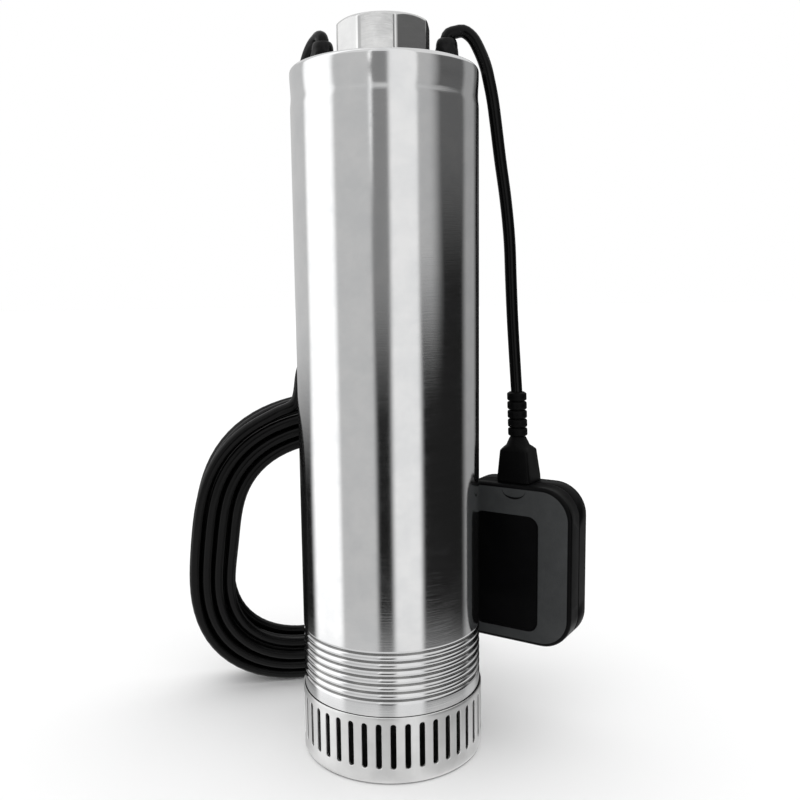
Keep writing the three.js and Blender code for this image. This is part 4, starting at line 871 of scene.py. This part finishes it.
grooveFoot = head["skirtFoot"] + head["grooveUp"]
grooveTop = grooveFoot + head["grooveWidth"]
grooveFloor, skirtBore = inner - head["grooveDepth"], inner - head["skirtWall"]
edge = head["edge"]
headLevels = [
    (head["portRadius"], head["underside"]), (skirtBore, head["underside"]), (skirtBore, head["skirtFoot"]),
    (inner - edge, head["skirtFoot"]), (inner, head["skirtFoot"] + edge),
    (inner, grooveFoot), (grooveFloor, grooveFoot), (grooveFloor, grooveTop), (inner, grooveTop),
    (inner, headTop - edge), (inner - edge, headTop),
]
headLevels += [(r, headTop) for r in head["deckRings"]]
for k in range(7):
    left, done = (Vector((1, 1)) - onCircle(15 * k)) * head["bossFillet"]
    headLevels.append((lambda a, g=done: bossReach(a, g), headTop + left))
for height in head["bossRows"]:
    headLevels.append((lambda a, h=height: softLeast(bossReach(a), turnedEdge(h)), height))
headLevels += [(r, head["bossTop"]) for r in head["faceRings"]]
for k in range(head["threadRows"] + 1):
    height = head["threadStart"] - (head["bossTop"] - head["threadEnd"]) * k / head["threadRows"]
    headLevels.append((lambda a, h=height: threadReach(a, h), height))
headRings = ringsOf(headLevels, head["sides"])
headPiece = skin("discharge_boss", headRings, skins["turnedHead"], "joined", sharp=40)
settle(headPiece, "pump", "satin_steel", "discharge_head")
print("head and boss made:", len(headPiece.data.vertices), "points")


# Cable glands: hexagonal foot, collar and domed nut

gland = {
    "flats": 15, "hexCorner": 0.7, "bore": 4.7, "stemRadius": 6.5, "stemFoot": 458.7, "foot": 476,
    "nutFoot": 483.5, "nutTurn": 12, "nutBore": 6.3, "sides": 96,
    # radius, which turns off a hexagon's corners, and height over the foot
    "footHex": [(7.9, 0), (9, 0.5), (9, 6.5), (7.8, 7.2)],
    "collar": [(6.3, 7.2), (6, 7.5), (6, 13.8), (5.6, 14.2), (4.7, 14.2)],
    "nutHex": [(7.9, 0), (9, 0.5), (9, 7.2), (8.2, 8.3), (7.85, 9.3)],
    "crownMiddle": (5.3, 10.6), "crownReach": (2.15, 5.6), "crownSteps": 8,
}


def hexLevels(turn, foot, levels):
    def hexagon(angle):
        return polygonReach(angle, 6, gland["flats"], gland["hexCorner"], radians(turn + 90))
    return [(lambda a, limit=limit: min(hexagon(a), limit), foot + up) for limit, up in levels]


crownMiddle, crownReach = Vector(gland["crownMiddle"]), Vector(gland["crownReach"])
for side in ("power", "float"):
    turn, foot, low = pump[side + "Turn"], gland["foot"], gland["nutFoot"]
    stem, bore, nutBore = gland["stemRadius"], gland["bore"], gland["nutBore"]
    bodyLevels = [(bore, gland["stemFoot"]), (stem, gland["stemFoot"]), (stem, foot)]
    bodyLevels += hexLevels(turn, foot, gland["footHex"]) + [(r, foot + up) for r, up in gland["collar"]]
    nutLevels = [(nutBore, low)] + hexLevels(turn + gland["nutTurn"], low, gland["nutHex"])
    for k in range(gland["crownSteps"] + 1):
        # the crown closes in over the cable
        x, y = crownMiddle + crownReach * onCircle(90 * k / gland["crownSteps"])
        nutLevels.append((x, low + y))
    nutLevels += [(bore + 0.2, nutTop), (bore, nutTop - 0.3), (bore, nutTop - 3), (nutBore, nutTop - 3)]
    for name, node, levels, sharp in (("foot", "body", bodyLevels, 32), ("cap", "nut", nutLevels, 28)):
        rings = ringsOf(levels, gland["sides"], centre=pump[side + "Gland"])
        piece = skin(f"{side}_gland_{name}", rings, skins["glandPlastic"], "joined", sharp=sharp)
        settle(piece, "pump", "black_plastic", f"{side}_gland_{node}")
print("glands made")


# Float: two moulded shells, the strip between them and the ribbed boot

floatSizes = {
    "place": (98.605, 36.084, 0), "turn": -32.6, "depth": 33, "edge": 2.8, "wall": 3, "seam": 1.6,
    "seamBevel": 0.35,
    # width, height, corner, and the middle's x and z
    "outline": (97, 121.5, 24, 0, 124.95), "panel": (53, 88, 8, -4.2, 118.7),
    # inset from the outline and depth
    "panelEdge": [(-0.9, 0), (-0.4, 0.1), (-0.1, 0.35), (0, 0.7), (0.1, 1.15), (0.4, 1.4), (0.9, 1.5)],
    "strip": [(2.6, -0.5), (0.5, -0.5), (0.3, -0.35), (0.3, 0.35), (0.5, 0.5), (2.6, 0.5)],
}
floatPlace = Matrix.Translation(floatSizes["place"]) @ Matrix.Rotation(radians(floatSizes["turn"]), 4, "Z")


def floatRing(form, inset, depth):
    width, height, corner, x, z = floatSizes[form]
    loop = roundedLoop(width - 2 * inset, height - 2 * inset, corner - inset, 14, 8)
    return [floatPlace @ Vector((x + p.x, depth, z + p.y)) for p in loop]


def floatShell(name, facing, node):
    size = floatSizes
    face, seam, wall, bevel = size["depth"] / 2, size["seam"] / 2, size["wall"], size["seamBevel"]
    levels = [(wall, face - wall), (wall, seam), (bevel, seam), (0, seam + bevel)]
    for k in range(7):
        x, y = (Vector((1, 1)) - onCircle(15 * k)) * size["edge"]
        levels.append((x, face - y))
    rings = [floatRing("outline", inset, facing * depth) for inset, depth in levels]
    rings += [floatRing("panel", inset, facing * (face - drop)) for inset, drop in size["panelEdge"]]
    count = len(rings[0])
    framed = range((len(levels) - 1) * count, (len(levels) + 1) * count)
    # the flat frame round the panel keeps the grey; the sides and the sunk panel take a near-black copy of
    # the same plastic, painted shade
    shellPiece = skin(name, rings, [skins["smoothShell"], skins["frameGrain"]], sharp=45,
                      materialOf=lambda k: int(k in framed))
    settle(shellPiece, "float", "grey_plastic", node)


floatShell("float_front", -1, "float_shell_front")
floatShell("float_back", 1, "float_shell_back")
stripRings = [floatRing("outline", inset, depth) for inset, depth in floatSizes["strip"]]
strip = skin("float_seam", stripRings, skins["blackRubber"], "joined")
settle(strip, "float", "black_rubber", "float_seam_seal")

boot = {
    "foot": 186, "height": 68, "lean": 2.4, "ribs": 5, "ribFoot": 34, "ribPitch": 6.7,
    # height over the foot, half width, half depth, corner
    "base": [(0, 12.8, 11.8, 2.5), (0.5, 13.3, 12.3, 2.5), (4, 13.2, 12.2, 2.5), (23.6, 11.2, 10.3, 2.2),
             (24.3, 10.9, 10, 2.2), (26.2, 9.8, 9.2, 5), (27.6, 8.8, 8.6, 8), (33.2, 6.3, 6.3, 6)],
    # height over the rib's foot, radius
    "rib": [(0, 5.7), (0.6, 5.7), (0.75, 6.3), (1.1, 6.9), (1.8, 7.25), (5.7, 7.25), (6.4, 6.9), (6.65, 6.3)],
    "mouth": [(68, 5.7, 5.7, 5.6), (68, 4.5, 4.5, 4.4), (60, 4.5, 4.5, 4.4)],
}
leanWay = Vector((*onCircle(180 + floatCord["bearing"]), 0)) * boot["lean"] / boot["height"]


def bootRing(up, halfWidth, halfDepth, corner):
    loop = roundedLoop(2 * halfWidth, 2 * halfDepth, min(corner, 0.98 * halfDepth), 8, 4)
    return [floatPlace @ Vector((p.x, p.y, boot["foot"] + up)) + leanWay * up for p in loop]


bootRibs = [(boot["ribFoot"] + k * boot["ribPitch"] + up, r, r, r) for k in range(boot["ribs"])
            for up, r in boot["rib"]]
bootRings = [bootRing(*section) for section in boot["base"] + bootRibs + boot["mouth"]]
bootPiece = skin("float_boot_sleeve", bootRings, skins["bootPlastic"], sharp=40)
settle(bootPiece, "float", "black_plastic", "float_boot")

# Thin half-moon in the boot's black plastic, set into the front face under the boot
moon = {"x": 3, "z": 182.4, "halfWidth": 9.6, "drop": 7.4, "thickness": 1.4, "proud": 0.25, "sunk": 0.4,
        "start": 188, "sweep": 164, "blunt": 0.08, "steps": 20}
near, far = floatSizes["depth"] / 2 + moon["proud"], floatSizes["depth"] / 2 - moon["sunk"]
moonRings = []
for k in range(moon["steps"] + 1):
    share = k / moon["steps"]
    across, down = onCircle(moon["start"] + moon["sweep"] * share)
    thin = moon["thickness"] * sin(pi * (moon["blunt"] + (1 - 2 * moon["blunt"]) * share))
    moonRings.append([floatPlace @ Vector((moon["x"] + across * moon["halfWidth"], -depth,
                                           moon["z"] + down * (moon["drop"] - inward)))
                      for inward, depth in ((0, near), (thin, near), (thin, far), (0, far))])
settle(skin("float_mark", moonRings, skins["bootPlastic"]), "float", "black_plastic")
print("float made")


# CAD pieces that stay: each takes the finish that its slot names

otherFinish = {"black_plastic": "glandPlastic", "carbon": "carbonFace"}
for part in frame["record"]["subparts"]:
    slot = part["material_slot"]
    first, *rest = slot.split("_")
    finish = otherFinish.get(slot, first + "".join(word.title() for word in rest))
    node = frame["nodes"][part["node"]]
    node.data.materials.clear()
    node.data.materials.append(skins[finish])
print("inner pieces finished")


# Studio: pale floor, soft light from above and round the object

studio = {
    "floorBox": (-9, -4, 9, 14), "floorTone": 0.88, "sun": 0.75, "sunSpread": 80, "surround": 0.014,
    "floorShine": 0.8, "floorEdge": (-30, -21), "riseSoft": 12,
}
# Soft boxes round the object: bearing from the camera's side (+ towards +X), half width, soft edge and the
# elevation that the box starts at, all in degrees, then its brightness.
softBoxes = {
    "leftWall": (-140, 30, 22, -2, 0.62),
    "leftKey": (-88, 18, 16, -40, 1.35),
    "leftFill": (-44, 24, 8, -40, 0.6),
    "strip": (-17, 1, 2.5, 13, 1.1),
    "front": (-4, 14, 10, 2, 0.26),
    "rightKey": (22, 14, 9, -40, 0.95),
    "rightHigh": (44, 8, 26, 4, 0.5),
    "rightRim": (124, 8, 16, -40, 0.36),
    "rightBack": (100, 50, 20, 10, 0.12),
    "overhead": (0, 180, 1, 28, 0.8),
}

floorMesh = bpy.data.meshes.new("floor")
left, near, right, far = studio["floorBox"]
floorMesh.from_pydata([(left, near, 0), (right, near, 0), (right, far, 0), (left, far, 0)], [], [range(4)])
floor = linked("floor", floorMesh)
floorMaterial = bpy.data.materials.new("paleFloor")
floorMaterial.use_nodes = True
floorTree = floorMaterial.node_tree
floorShader = floorTree.nodes["Principled BSDF"]
floorShader.inputs["Roughness"].default_value = 0.9
floorShader.inputs["Specular IOR Level"].default_value = 0.0
floorCloud = effect(floorTree, "mottle", Size=3.0)["Slow"]
floorTone = mixColours(floorTree, floorCloud, [studio["floorTone"]] * 3, [studio["floorTone"] * 0.985] * 3)
floorTree.links.new(floorTone, floorShader.inputs["Base Color"])
floorMesh.materials.append(floorMaterial)
floor.visible_glossy = False

skyData = bpy.data.lights.new("sky", "SUN")
skyData.energy = studio["sun"]
skyData.angle = radians(studio["sunSpread"])
sky = linked("sky", skyData)
sky.visible_glossy = False

world = bpy.data.worlds.new("studio")
scene.world = world
world.use_nodes = True
tree = world.node_tree
tree.nodes.clear()
direction = addNode(tree, "TexCoord").outputs["Generated"]
bits = addNode(tree, "SeparateXYZ", {0: direction}).outputs
bearing = mathNode(tree, "ARCTAN2", bits["X"], mathNode(tree, "MULTIPLY", bits["Y"], -1.0))


def fromEdge(value, low, high):
    return addNode(tree, "MapRange", {"Value": value, "From Min": low, "From Max": high},
                   interpolation_type="SMOOTHSTEP").outputs["Result"]


def sineOf(degrees):
    return sin(radians(degrees))


glow = studio["surround"]
for middle, half, soft, start, bright in softBoxes.values():
    off = mathNode(tree, "ABSOLUTE", mathNode(tree, "SUBTRACT", bearing, radians(middle)))
    across = fromEdge(off, radians(half + soft), radians(half))
    rise = fromEdge(bits["Z"], sineOf(start - studio["riseSoft"]), sineOf(start))
    lit = mathNode(tree, "MULTIPLY", mathNode(tree, "MULTIPLY", across, rise), bright)
    glow = mathNode(tree, "MAXIMUM", glow, lit)
floorLow, floorHigh = [sineOf(angle) for angle in studio["floorEdge"]]
room = mixColours(tree, fromEdge(bits["Z"], floorLow, floorHigh), [studio["floorShine"]] * 3, glow)
# only reflections see the boxes; the eye and the floor see an even white room
mirrored = addNode(tree, "LightPath").outputs["Is Glossy Ray"]
light = addNode(tree, "Background", {"Color": mixColours(tree, mirrored, (1, 1, 1), room)})
surface = addNode(tree, "OutputWorld")
tree.links.new(light.outputs["Background"], surface.inputs["Surface"])
scene.view_settings.view_transform = "Standard"
print("studio lit")
